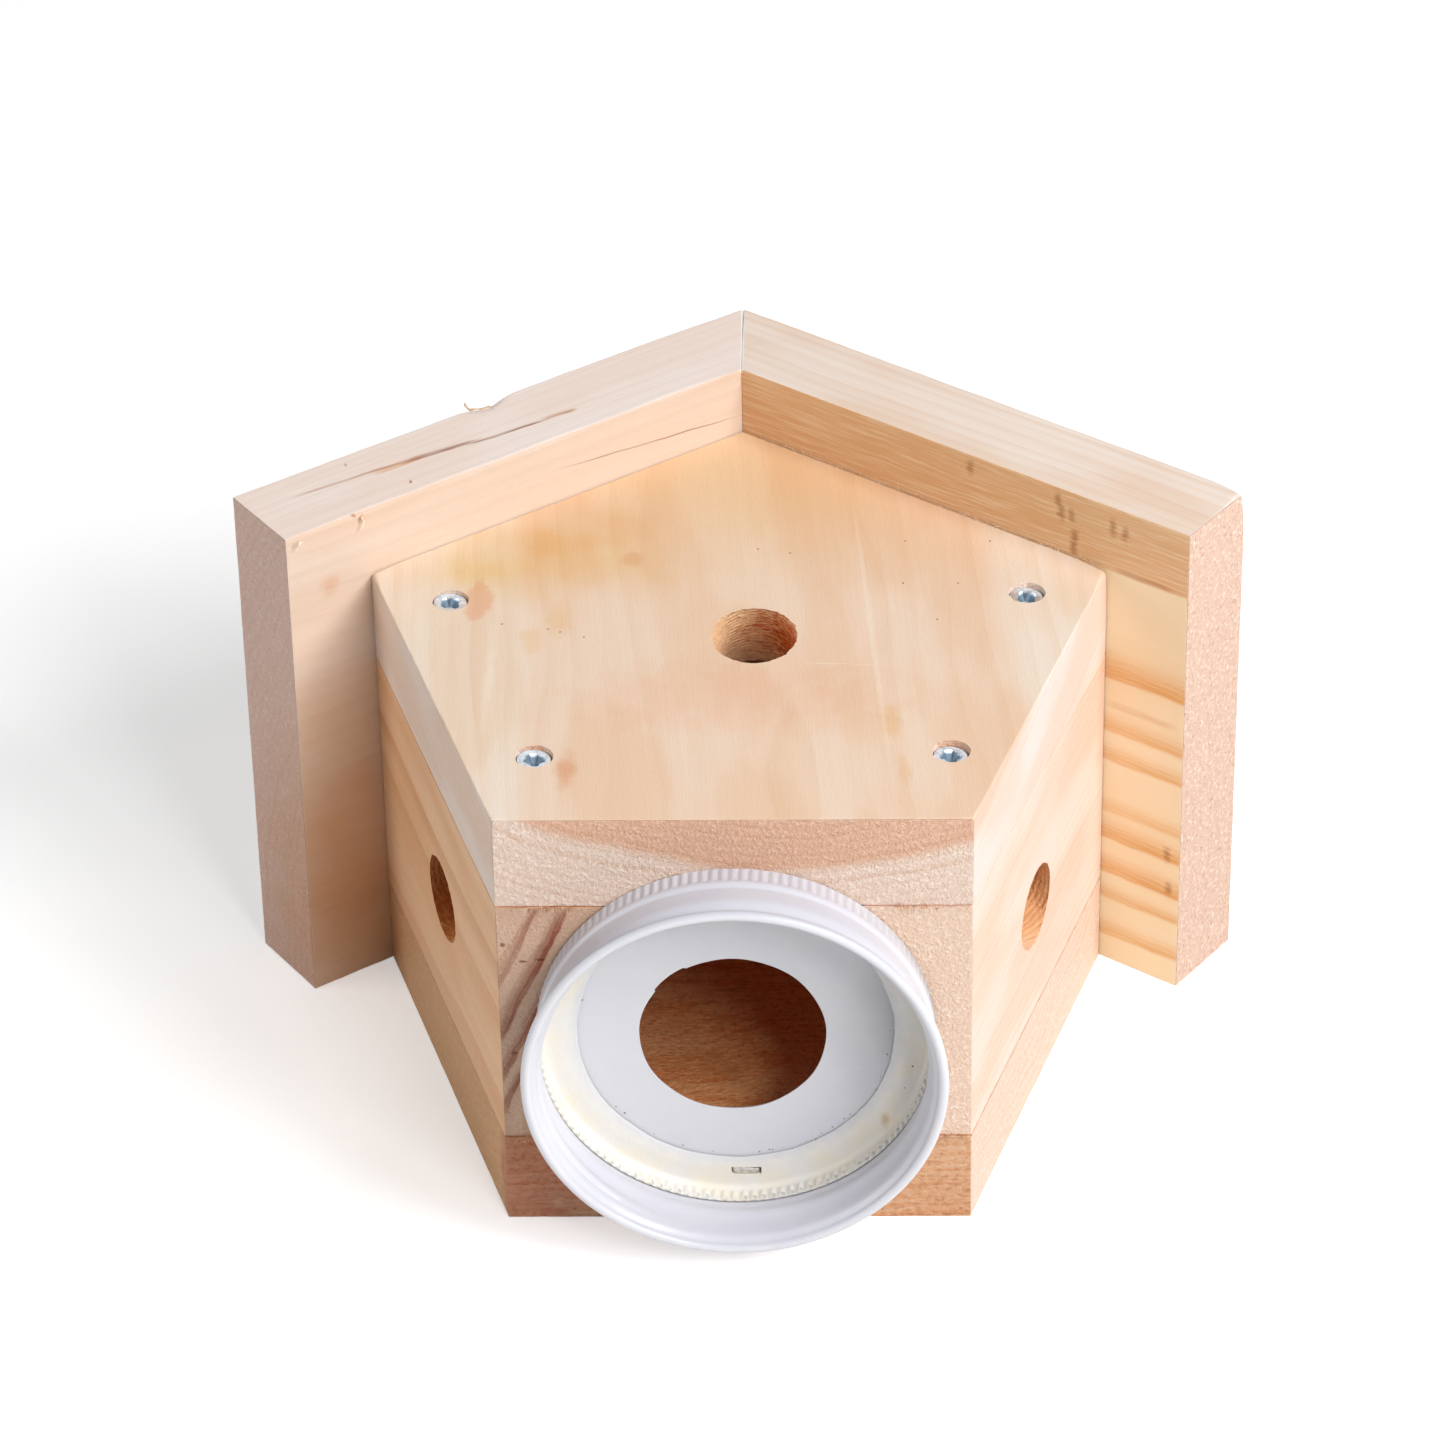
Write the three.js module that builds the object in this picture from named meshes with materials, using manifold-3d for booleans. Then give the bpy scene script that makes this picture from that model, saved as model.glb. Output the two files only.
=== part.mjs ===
// Carpenter bee trap: a five-sided wooden box under a gable roof, with slanted entry holes
// that lead bees into a dark chamber and a metal jar lid fixed under it to take a jar.
// Millimetres. The trap lies on its back: +Z runs out of the front panel, +Y up to the
// roof's ridge when it hangs, and the origin is the middle of the back panel's back face.
import * as THREE from 'three';
import * as BufferGeometryUtils from 'three/addons/utils/BufferGeometryUtils.js';
import Module from 'manifold-3d';

const wasm = await Module();
wasm.setup();

// Boards: one stock of planed softwood
const boardThickness = 19.05;
const pentagonSide = 86.3;
const chamberDepth = 52.2;
const roofDepth = 104.7;
const roofInnerLength = 104.4;

// Clearances shared by all pieces
const seam = 0.2;
const screwClearance = 0.2;
const stapleClearance = 0.15;
const cutOverrun = 8;

// Slanted entry holes
const entryBore = 16;
const entryTiltDegrees = 30;
const frontEntryRight = 3.2;
const frontEntryAboveCentre = 0.4;
const sideEntryBelowMiddle = 2.2;
const leftEntryDrop = 0;
const rightEntryDrop = 2.2;
const entrySides = 24;

// Wood screws
const screwLength = 41.3;
const screwHeadDiameter = 6.6;
const screwHeadRim = 0.3;
const screwHeadHeight = 2.3;
const screwShankDiameter = 3.5;
const screwTipLength = 5;
const screwRecess = 1.7;
const driveSpan = 3.8;
const driveSlotWidth = 1;
const driveDepth = 1.6;
const screwSides = 12;

// Where the screws stand
const bodyScrewInset = 11.8;
const frontScrewFromFoot = 17;
const frontScrewFromEave = 13.2;
const backScrewFromFoot = 22.5;
const backScrewFromEave = 22;
const roofScrewFromEave = 21.6;
const roofScrewFromRidge = 30;
const screwStray = 1;
// How far each front screw strays along the edge and in from it, as shares of the stray
const frontStrayShares = {
  left_lower: [0.1, 1],
  left_upper: [0.9, 0],
  right_lower: [2.2, -1.6],
  right_upper: [-0.8, 0.4],
};

// Pressed steel jar lid
const lidHeight = 17.6;
const lidSheet = 0.3;
const lidCrownDiameter = 73.2;
const lidCornerRadius = 0.9;
const knurlHeight = 5.6;
const neckStep = 0.5;
const skirtFlare = 1;
const curlRadius = 0.95;
const lidHoleDiameter = 34.2;
const lidHoleLeft = 0.6;
const lidHoleBack = 0.9;
const lidBelowMiddle = 1.35;
const threadPitch = 5.08;
const threadTurns = 1.2;
const threadDepth = 0.6;
const threadWidth = 1.6;
const threadStart = 8;
const threadFadeTurns = 0.08;
const lidSteps = 60;
const cornerSteps = 3;
const threadRows = 7;
const curlSteps = 8;
const lidHoleSides = 48;

// Sealing compound inside the lid
const gasketWidth = 7.1;
const gasketThickness = 0.9;
const gasketSkin = 0.45;
const gasketHeight = 5.2;
const gasketFillet = 1;

// Staples through the lid
const stapleCrown = 5.4;
const stapleWireWidth = 1.25;
const stapleWireThickness = 0.9;
const stapleLeg = 15;
const stapleRight = 1.5;
const stapleFromCrownEdge = 4.9;

// Derived sizes of the pentagon
const pentagonCorners = 5;
const cornerTurn = (2 * Math.PI) / pentagonCorners;
const apothem = pentagonSide / (2 * Math.tan(cornerTurn / 2));
const circumradius = pentagonSide / (2 * Math.sin(cornerTurn / 2));
const sideAngle = cornerTurn;
const roofAngle = cornerTurn / 2;

// Heights along Z of the stacked layers
const sideLow = boardThickness + seam;
const sideHigh = sideLow + chamberDepth;
const frontLow = sideHigh + seam;
const frontFace = frontLow + boardThickness;
const bodyMiddle = frontFace / 2;

const finishes = {
  panelWood: { color: '#e3bd94', roughness: 0.75, metalness: 0 },
  sideWood: { color: '#e8c59b', roughness: 0.75, metalness: 0 },
  roofWood: { color: '#e6c39c', roughness: 0.75, metalness: 0 },
  lidEnamel: { color: '#e4e3ea', roughness: 0.35, metalness: 0.1 },
  sealingCompound: { color: '#f1ead6', roughness: 0.6, metalness: 0 },
  stapleWire: { color: '#a9aab2', roughness: 0.35, metalness: 0.9 },
  screwZinc: { color: '#b9c4cf', roughness: 0.3, metalness: 0.9 },
};

// An edge of the pentagon: base point, direction along it and its outward normal
function edgeFrame(base, angle) {
  const along = new THREE.Vector2(Math.cos(angle), Math.sin(angle));
  const outward = new THREE.Vector2(along.y, -along.x);
  return {
    along,
    outward,
    at: (distance, out) => base.clone().addScaledVector(along, distance).addScaledVector(outward, out),
  };
}

function pentagonCorner(index) {
  const angle = Math.PI / 2 - index * cornerTurn;
  return new THREE.Vector2(Math.cos(angle), Math.sin(angle)).multiplyScalar(circumradius);
}

const sideEdge = edgeFrame(pentagonCorner(2), sideAngle);
const roofEdge = edgeFrame(pentagonCorner(1), Math.PI - roofAngle);

function solidOf(geometry) {
  const bare = geometry.clone();
  bare.deleteAttribute('normal');
  bare.deleteAttribute('uv');
  const merged = BufferGeometryUtils.mergeVertices(bare);
  return new wasm.Manifold(new wasm.Mesh({
    numProp: 3,
    vertProperties: merged.attributes.position.array,
    triVerts: Uint32Array.from(merged.index.array),
  }));
}

function geometryOf(solid) {
  const { vertProperties, triVerts } = solid.getMesh();
  const geometry = new THREE.BufferGeometry();
  geometry.setAttribute('position', new THREE.BufferAttribute(vertProperties, 3));
  geometry.setIndex(new THREE.BufferAttribute(triVerts, 1));
  geometry.computeVertexNormals();
  return geometry;
}

function carve(geometry, cutters) {
  const solid = cutters.reduce((rest, cutter) => rest.subtract(solidOf(cutter)), solidOf(geometry));
  return geometryOf(solid);
}

// A flat outline in XY, raised between two heights
function prism(points, low, high) {
  const geometry = new THREE.ExtrudeGeometry(new THREE.Shape(points), {
    depth: high - low,
    bevelEnabled: false,
  });
  return geometry.translate(0, 0, low);
}

function mirrored(geometry) {
  const copy = geometry.index ? geometry.toNonIndexed() : geometry.clone();
  copy.scale(-1, 1, 1);
  const position = copy.attributes.position;
  const first = new THREE.Vector3();
  const last = new THREE.Vector3();
  for (let corner = 0; corner < position.count; corner += 3) {
    first.fromBufferAttribute(position, corner);
    last.fromBufferAttribute(position, corner + 2);
    position.setXYZ(corner, last.x, last.y, last.z);
    position.setXYZ(corner + 2, first.x, first.y, first.z);
  }
  return copy;
}

// Turns a piece drawn about the Y axis, pointing down -Y, to a place and direction
function placement(position, direction) {
  const turn = new THREE.Quaternion().setFromUnitVectors(new THREE.Vector3(0, -1, 0), direction);
  return new THREE.Matrix4().compose(position, turn, new THREE.Vector3(1, 1, 1));
}

function point3(flat, height) {
  return new THREE.Vector3(flat.x, flat.y, height);
}

// Screw: head at the origin, tip down -Y
function screwBlank(grow, headroom) {
  const headRadius = screwHeadDiameter / 2 + grow;
  const shankRadius = screwShankDiameter / 2 + grow;
  const tipStart = screwLength - screwTipLength;
  return new THREE.LatheGeometry([
    new THREE.Vector2(0, -screwLength - grow),
    new THREE.Vector2(shankRadius, -tipStart - grow),
    new THREE.Vector2(shankRadius, -screwHeadHeight - grow),
    new THREE.Vector2(headRadius, -screwHeadRim - grow),
    new THREE.Vector2(headRadius, headroom),
    new THREE.Vector2(0, headroom),
  ], screwSides);
}

// Cross-shaped drive recess in a screw's head
function driveCutter() {
  const reach = driveSpan / 2;
  const half = driveSlotWidth / 2;
  const arm = [[reach, -half], [reach, half], [half, half]];
  const outline = [];
  for (let quarter = 0; quarter < 4; quarter += 1) {
    const turn = (quarter * Math.PI) / 2;
    for (const [x, y] of arm) {
      outline.push(new THREE.Vector2(x, y).rotateAround(new THREE.Vector2(0, 0), turn));
    }
  }
  return prism(outline, -cutOverrun, driveDepth).rotateX(Math.PI / 2);
}

function screwGeometry() {
  return carve(screwBlank(0, 0), [driveCutter()]);
}

// Body screws: through a panel into the end of a side board, four from each face
function bodyScrewPlaces() {
  const rows = [
    { face: 'front', level: 'lower', distance: frontScrewFromFoot, inwards: 1 },
    { face: 'front', level: 'upper', distance: pentagonSide - frontScrewFromEave, inwards: -1 },
    { face: 'back', level: 'lower', distance: backScrewFromFoot, inwards: 1 },
    { face: 'back', level: 'upper', distance: pentagonSide - backScrewFromEave, inwards: -1 },
  ];
  return rows.flatMap(({ face, level, distance, inwards }) => ['left', 'right'].map((hand) => {
    const inFront = face === 'front';
    const [alongShare, inShare] = inFront ? frontStrayShares[`${hand}_${level}`] : [0, 0];
    const along = distance + inwards * alongShare * screwStray;
    const inset = bodyScrewInset + inShare * screwStray;
    const height = inFront ? frontFace - screwRecess : screwRecess;
    const spot = point3(sideEdge.at(along, -inset), height);
    spot.x *= hand === 'left' ? -1 : 1;
    return {
      name: `${face}_screw_${hand}_${level}`,
      spot,
      direction: new THREE.Vector3(0, 0, inFront ? -1 : 1),
    };
  }));
}

// Roof screws: down through a roof board into the edge of a panel
function roofScrewPlaces() {
  const rows = [
    { row: 'front', height: frontLow + boardThickness / 2 },
    { row: 'back', height: boardThickness / 2 },
  ];
  const levels = [
    { level: 'eave', distance: roofScrewFromEave },
    { level: 'ridge', distance: pentagonSide - roofScrewFromRidge },
  ];
  const headDepth = seam + boardThickness - screwRecess;
  const places = [];
  for (const { row, height } of rows) {
    for (const { level, distance } of levels) {
      for (const [hand, mirror] of [['left', -1], ['right', 1]]) {
        const spot = point3(roofEdge.at(distance, headDepth), height);
        const direction = point3(roofEdge.outward, 0).negate();
        spot.x *= mirror;
        direction.x *= mirror;
        places.push({ name: `roof_screw_${hand}_${row}_${level}`, spot, direction });
      }
    }
  }
  return places;
}

// Slanted bore: enters at a mouth and climbs towards the roof as it goes in
function entryCutter(mouth, inward, upward) {
  const tilt = THREE.MathUtils.degToRad(entryTiltDegrees);
  const direction = inward.clone().multiplyScalar(Math.cos(tilt)).addScaledVector(upward, Math.sin(tilt));
  const run = boardThickness / Math.cos(tilt);
  const length = run + 2 * cutOverrun;
  const bore = new THREE.CylinderGeometry(entryBore / 2, entryBore / 2, length, entrySides);
  const middle = mouth.clone().addScaledVector(direction, run / 2);
  return bore.applyMatrix4(placement(middle, direction));
}

function frontEntryCutter() {
  const mouth = new THREE.Vector3(frontEntryRight, frontEntryAboveCentre, frontFace);
  return entryCutter(mouth, new THREE.Vector3(0, 0, -1), new THREE.Vector3(0, 1, 0));
}

function sideEntryCutter(drop) {
  const mouth = point3(sideEdge.at(pentagonSide / 2 - sideEntryBelowMiddle, 0), bodyMiddle - drop);
  return entryCutter(mouth, point3(sideEdge.outward, 0).negate(), point3(sideEdge.along, 0));
}

// Staple: U of flat wire, its crown's underside at the origin and its legs up +Y
function stapleBlank(grow) {
  const outer = stapleCrown / 2 + grow;
  const inner = stapleCrown / 2 - stapleWireThickness - grow;
  const top = -stapleWireThickness - grow;
  const legEnd = stapleLeg + grow;
  const width = stapleWireWidth / 2 + grow;
  const outline = [
    [-outer, top], [outer, top], [outer, legEnd], [inner, legEnd],
    [inner, grow], [-inner, grow], [-inner, legEnd], [-outer, legEnd],
  ];
  return prism(outline.map(([x, y]) => new THREE.Vector2(x, y)), -width, width);
}

const lidPlace = new THREE.Vector3(0, -apothem - seam, bodyMiddle - lidBelowMiddle);
const stapleRadius = lidCrownDiameter / 2 - stapleFromCrownEdge;

function staplePlace(side) {
  return new THREE.Vector3(
    lidPlace.x + stapleRight,
    lidPlace.y - lidSheet - seam,
    lidPlace.z + side * stapleRadius,
  );
}

function stapleCutter(side) {
  const place = staplePlace(side);
  return stapleBlank(stapleClearance).translate(place.x, place.y, place.z);
}

// How far the pressed thread pulls the skirt inwards at a depth and an angle
function threadDent(depth, angle) {
  const turnHere = angle / (2 * Math.PI);
  let dent = 0;
  for (let pass = 0; pass < Math.ceil(threadTurns); pass += 1) {
    const turn = turnHere + pass;
    const fadeIn = THREE.MathUtils.smoothstep(turn, 0, threadFadeTurns);
    const fadeOut = 1 - THREE.MathUtils.smoothstep(turn, threadTurns - threadFadeTurns, threadTurns);
    const off = (depth - threadStart - threadPitch * turn) / threadWidth;
    dent = Math.max(dent, threadDepth * fadeIn * fadeOut * Math.exp(-off * off));
  }
  return dent;
}

function arcPoints([centreRadius, centreDepth], radius, [from, to], steps) {
  const points = [];
  for (let step = 0; step <= steps; step += 1) {
    const angle = from + ((to - from) * step) / steps;
    points.push([centreRadius + radius * Math.cos(angle), centreDepth + radius * Math.sin(angle)]);
  }
  return points;
}

const outerQuarter = [-Math.PI / 2, 0];
const hollowQuarter = [0, -Math.PI / 2];
const curlTurn = [-Math.PI / 2, Math.PI];

// Turns a profile of radius and depth pairs, drawn clockwise, about the lid's axis
function turned(profile) {
  const points = profile.map(([radius, depth]) => new THREE.Vector2(radius, -depth));
  return new THREE.LatheGeometry(points.reverse(), lidSteps);
}

// One skin of the lid from the corner down to the curl, set in by part of the sheet
function lidSkin(inset) {
  const crownRadius = lidCrownDiameter / 2 - inset;
  const cornerCentre = [lidCrownDiameter / 2 - lidCornerRadius, lidCornerRadius];
  const corner = arcPoints(cornerCentre, lidCornerRadius - inset, outerQuarter, cornerSteps);
  const neckRadius = crownRadius - neckStep;
  const threadTop = knurlHeight + neckStep;
  const threadLow = lidHeight - 2 * curlRadius - skirtFlare;
  const rows = [];
  for (let row = 0; row <= threadRows; row += 1) {
    rows.push([neckRadius, threadTop + ((threadLow - threadTop) * row) / threadRows]);
  }
  return [...corner, [crownRadius, knurlHeight], ...rows];
}

function lidShellBlank() {
  const outer = lidSkin(0);
  const inner = lidSkin(lidSheet).reverse();
  const curlInner = lidCrownDiameter / 2 - neckStep + skirtFlare - lidSheet;
  const curlCentre = [curlInner + curlRadius, lidHeight - curlRadius];
  const curl = arcPoints(curlCentre, curlRadius, curlTurn, curlSteps);
  const profile = [[0, 0], ...outer, ...curl, ...inner, [0, lidSheet]];
  const geometry = turned(profile);
  const position = geometry.attributes.position;
  const dentStart = knurlHeight + neckStep;
  const dentEnd = lidHeight - 2 * curlRadius;
  for (let vertex = 0; vertex < position.count; vertex += 1) {
    const depth = -position.getY(vertex);
    const radius = Math.hypot(position.getX(vertex), position.getZ(vertex));
    if (depth > dentStart && depth < dentEnd && radius > 0) {
      const angle = Math.atan2(position.getZ(vertex), position.getX(vertex)) + Math.PI;
      const share = 1 - threadDent(depth, angle) / radius;
      position.setX(vertex, position.getX(vertex) * share);
      position.setZ(vertex, position.getZ(vertex) * share);
    }
  }
  return geometry;
}

function lidHoleCutter() {
  const radius = lidHoleDiameter / 2;
  return new THREE.CylinderGeometry(radius, radius, 2 * cutOverrun, lidHoleSides)
    .translate(-lidHoleLeft, 0, -lidHoleBack);
}

function gasketBlank() {
  const low = lidSheet + seam;
  const wall = lidCrownDiameter / 2 - lidSheet - seam;
  const cornerRadius = lidCornerRadius - lidSheet - seam;
  const cornerCentre = [wall - cornerRadius, low + cornerRadius];
  const corner = arcPoints(cornerCentre, cornerRadius, outerQuarter, cornerSteps);
  const filletCentre = [wall - gasketSkin - gasketFillet, low + gasketThickness + gasketFillet];
  const fillet = arcPoints(filletCentre, gasketFillet, hollowQuarter, cornerSteps);
  const inner = wall - gasketWidth;
  const profile = [
    [inner, low], ...corner, [wall, gasketHeight], [wall - gasketSkin, gasketHeight],
    ...fillet, [inner + gasketSkin, low + gasketThickness], [inner, low + gasketSkin], [inner, low],
  ];
  return turned(profile);
}

const trap = new THREE.Group();
const places = [...bodyScrewPlaces(), ...roofScrewPlaces()];
const pocketHeadroom = screwRecess + cutOverrun;
const screwPockets = places.map(({ spot, direction }) => (
  screwBlank(screwClearance, pocketHeadroom).applyMatrix4(placement(spot, direction))
));
const staplePockets = [-1, 1].map(stapleCutter);
const fastenerPockets = [...screwPockets, ...staplePockets];

function addPiece(name, geometry, finish) {
  const material = new THREE.MeshStandardMaterial({ ...finish, flatShading: true });
  const mesh = new THREE.Mesh(geometry, material);
  mesh.name = name;
  trap.add(mesh);
  return mesh;
}

function addPanels() {
  const outline = [];
  for (let index = 0; index < pentagonCorners; index += 1) {
    outline.push(pentagonCorner(-index));
  }
  const back = prism(outline, 0, boardThickness);
  const front = prism(outline, frontLow, frontFace);
  const bored = carve(front, [...fastenerPockets, frontEntryCutter()]);
  addPiece('back_panel', carve(back, fastenerPockets), finishes.panelWood);
  addPiece('front_panel', bored, finishes.panelWood);
}

// Side boards: mitred to the floor line and to the roof line
function addSideBoards() {
  const endShift = boardThickness / Math.tan(cornerTurn);
  const outline = [
    sideEdge.at(0, 0),
    sideEdge.at(pentagonSide, 0),
    sideEdge.at(pentagonSide + endShift, -boardThickness),
    sideEdge.at(-endShift, -boardThickness),
  ];
  const right = prism(outline, sideLow, sideHigh);
  const rightBoard = carve(right, [...screwPockets, sideEntryCutter(rightEntryDrop)]);
  const leftEntry = mirrored(sideEntryCutter(leftEntryDrop));
  const leftBoard = carve(mirrored(right), [...screwPockets, leftEntry]);
  addPiece('right_side_board', rightBoard, finishes.sideWood);
  addPiece('left_side_board', leftBoard, finishes.sideWood);
}

// Roof boards: mitred at the ridge, square at the eave
function addRoofBoards() {
  const ridgeShift = boardThickness * Math.tan(roofAngle);
  const halfSeam = seam / 2;
  const low = seam;
  const high = seam + boardThickness;
  const ridgeIn = pentagonSide + low * Math.tan(roofAngle) - halfSeam / Math.cos(roofAngle);
  const outline = [
    roofEdge.at(pentagonSide - roofInnerLength, low),
    roofEdge.at(pentagonSide - roofInnerLength, high),
    roofEdge.at(ridgeIn + ridgeShift, high),
    roofEdge.at(ridgeIn, low),
  ];
  const right = prism(outline, 0, roofDepth);
  addPiece('right_roof_board', carve(right, screwPockets), finishes.roofWood);
  addPiece('left_roof_board', carve(mirrored(right), screwPockets), finishes.roofWood);
}

function addLid() {
  const holes = staplePockets.map((pocket) => (
    pocket.clone().translate(-lidPlace.x, -lidPlace.y, -lidPlace.z)
  ));
  const punched = carve(lidShellBlank(), [lidHoleCutter(), ...holes]);
  const shell = addPiece('lid_shell', punched, finishes.lidEnamel);
  const gasket = addPiece('lid_gasket', carve(gasketBlank(), holes), finishes.sealingCompound);
  shell.position.copy(lidPlace);
  gasket.position.copy(lidPlace);
  for (const [name, side] of [['lower_staple', -1], ['upper_staple', 1]]) {
    addPiece(name, stapleBlank(0), finishes.stapleWire).position.copy(staplePlace(side));
  }
}

function addScrews() {
  const geometry = screwGeometry();
  for (const { name, spot, direction } of places) {
    const screw = addPiece(name, geometry, finishes.screwZinc);
    placement(spot, direction).decompose(screw.position, screw.quaternion, screw.scale);
  }
}

addPanels();
addSideBoards();
addRoofBoards();
addLid();
addScrews();

export default trap;
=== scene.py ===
"""Carpenter bee trap lying on its back: a softwood box under a gable roof with a jar lid at its foot.

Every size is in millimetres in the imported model's frame, and meshes are made in metres.
+Z runs out of the front panel, +Y up to the ridge and +X to the right.
"""
import logging
import math
from dataclasses import dataclass, field, replace
from enum import Enum
from typing import Callable, Sequence

import bpy
import numpy as np
from mathutils import Matrix, Vector, noise


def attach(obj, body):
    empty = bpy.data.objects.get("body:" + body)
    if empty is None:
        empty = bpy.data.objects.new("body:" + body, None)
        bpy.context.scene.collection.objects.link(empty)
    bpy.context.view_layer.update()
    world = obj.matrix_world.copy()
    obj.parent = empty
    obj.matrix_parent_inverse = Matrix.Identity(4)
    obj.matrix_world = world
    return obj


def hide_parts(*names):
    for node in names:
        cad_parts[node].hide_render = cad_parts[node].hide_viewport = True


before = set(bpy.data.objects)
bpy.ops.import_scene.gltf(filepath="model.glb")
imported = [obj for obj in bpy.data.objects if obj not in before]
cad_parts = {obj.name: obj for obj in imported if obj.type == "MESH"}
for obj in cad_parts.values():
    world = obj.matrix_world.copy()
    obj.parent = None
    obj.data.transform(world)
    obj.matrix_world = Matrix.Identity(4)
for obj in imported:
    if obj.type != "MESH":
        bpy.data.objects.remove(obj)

LOG = logging.getLogger("bee_trap")
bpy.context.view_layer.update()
MM = 0.001
BODY = "root"
SMOOTH_BELOW = math.radians(38)  # an edge that turns more is sharp
FLAT_ABOVE = 3 * MM  # a face with a longer side is shaded flat

Point = tuple[float, float, float]
Colour = tuple[float, float, float, float]
Socket = bpy.types.NodeSocket
Value = Socket | float
Rings = list[np.ndarray]
Faces = list[tuple[int, ...]]
Solid = tuple[np.ndarray, Faces]


def shade(code: str) -> Colour:
    """Turns a colour written as six hex digits into linear light."""
    parts = [int(code[start:start + 2], 16) / 255 for start in (0, 2, 4)]
    linear = [part / 12.92 if part <= 0.04045 else ((part + 0.055) / 1.055) ** 2.4 for part in parts]
    return (*linear, 1.0)


def unit(vector: Sequence[float]) -> np.ndarray:
    """Scales a vector to length one."""
    array = np.asarray(vector, float)
    return array / np.linalg.norm(array)


def ease(low: float, high: float, value: np.ndarray) -> np.ndarray:
    """Smooth step from 0 at low to 1 at high."""
    share = np.clip((value - low) / (high - low), 0, 1)
    return share * share * (3 - 2 * share)


def rough(points: np.ndarray, size: float, seed: float) -> np.ndarray:
    """Smooth random values from -1 to 1 at points.

    Args:
        points: Rows of x, y and z in millimetres.
        size: Width of a bump in millimetres.
        seed: Offset that picks another pattern.

    Returns:
        One value for each row.
    """
    scaled = points / size + seed
    return np.array([noise.noise(Vector(row)) for row in scaled])


@dataclass(frozen=True)
class Plan:
    """Sizes that all the pieces share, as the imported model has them."""

    board: float = 19.05
    side: float = 86.3
    seam: float = 0.2
    chamber: float = 52.2
    roof_depth: float = 104.7

    @property
    def radius(self) -> float:
        """Distance from the pentagon's centre to a corner."""
        return self.side / (2 * math.sin(math.pi / 5))

    @property
    def side_low(self) -> float:
        """Height of the side boards' back ends."""
        return self.board + self.seam

    @property
    def side_high(self) -> float:
        """Height of the side boards' front ends."""
        return self.side_low + self.chamber

    @property
    def front_low(self) -> float:
        """Height of the front panel's inner face."""
        return self.side_high + self.seam

    @property
    def front_face(self) -> float:
        """Height of the front panel's outer face."""
        return self.front_low + self.board

    def corner(self, index: int) -> np.ndarray:
        """Corner of the pentagon, counted clockwise from the ridge."""
        angle = math.pi / 2 - index * 2 * math.pi / 5
        return self.radius * np.array([math.cos(angle), math.sin(angle)])


PLAN = Plan()
LID_CENTRE = (0.0, -59.591, 44.0)
KNURLS = 126
GASKET_INNER = 29.0


@dataclass(frozen=True)
class Edge:
    """A straight edge of the pentagon, seen from the front."""

    foot: np.ndarray
    along: np.ndarray
    outward: np.ndarray

    def at(self, distance: float, out: float) -> np.ndarray:
        """Point at a distance along the edge and out from it."""
        return self.foot + self.along * distance + self.outward * out

    def spot(self, distance: float, out: float, height: float) -> np.ndarray:
        """The same point with a height."""
        return np.array([*self.at(distance, out), height])


def edge(index: int, hand: int) -> Edge:
    """The side edge (2) or roof edge (1) that starts at a pentagon corner.

    Args:
        index: Corner at the edge's foot on the right-hand side.
        hand: 1 for the right-hand side and -1 for the left.

    Returns:
        The edge, with its outward normal.
    """
    mirror = np.array([hand, 1])
    foot = PLAN.corner(index)
    along = unit(PLAN.corner(index - 1) - foot)
    outward = np.array([along[1], -along[0]])
    return Edge(foot * mirror, along * mirror, outward * mirror)


def wide(flat: np.ndarray) -> np.ndarray:
    """A flat direction as a direction in space."""
    return np.array([*flat, 0.0])


# Meshes from rings of points


def ring_faces(count: int, around: int, closed: bool) -> Faces:
    """Faces between rings of points.

    Args:
        count: How many rings there are.
        around: Points in a ring.
        closed: Whether the last ring joins the first; otherwise both ends are capped.

    Returns:
        Vertex numbers of each face, facing out where rings run anticlockwise up an axis.
    """
    faces: Faces = []
    for row in range(count if closed else count - 1):
        above = (row + 1) % count
        for step in range(around):
            after = (step + 1) % around
            faces.append((row * around + step, row * around + after,
                          above * around + after, above * around + step))
    if not closed:
        faces.append(tuple(range(around))[::-1])
        faces.append(tuple(range((count - 1) * around, count * around)))
    return faces


def new_piece(name: str, points: np.ndarray, faces: Faces) -> bpy.types.Object:
    """Makes an object from points in millimetres.

    Args:
        name: Name of the piece.
        points: Rows of x, y and z.
        faces: Vertex numbers of each face.

    Returns:
        The object, linked to the scene, with soft shading up to the smoothing angle.
    """
    mesh = bpy.data.meshes.new(name)
    mesh.from_pydata((points * MM).tolist(), [], faces)
    mesh.validate()
    piece = bpy.data.objects.new(name, mesh)
    bpy.context.scene.collection.objects.link(piece)
    soften(piece)
    return piece


def soften(piece: bpy.types.Object) -> None:
    """Shades a piece smooth apart from its sharp edges and its wide flat faces."""
    mesh = piece.data
    places = np.empty(len(mesh.vertices) * 3)
    mesh.vertices.foreach_get("co", places)
    places = places.reshape(-1, 3)
    corners, starts, totals = (np.empty(size, int) for size in (len(mesh.loops), *[len(mesh.polygons)] * 2))
    mesh.loops.foreach_get("vertex_index", corners)
    mesh.polygons.foreach_get("loop_start", starts)
    mesh.polygons.foreach_get("loop_total", totals)
    after = np.arange(1, len(corners) + 1)
    after[starts + totals - 1] = starts
    sides = np.linalg.norm(places[corners[after]] - places[corners], axis=1)
    mesh.polygons.foreach_set("use_smooth", np.maximum.reduceat(sides, starts) < FLAT_ABOVE)
    piece.data.set_sharp_from_angle(angle=SMOOTH_BELOW)


def from_rings(name: str, rings: Rings, closed: bool = False) -> bpy.types.Object:
    """Makes an object from rings of points with the same number of points each."""
    return new_piece(name, np.concatenate(rings), ring_faces(len(rings), len(rings[0]), closed))


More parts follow.
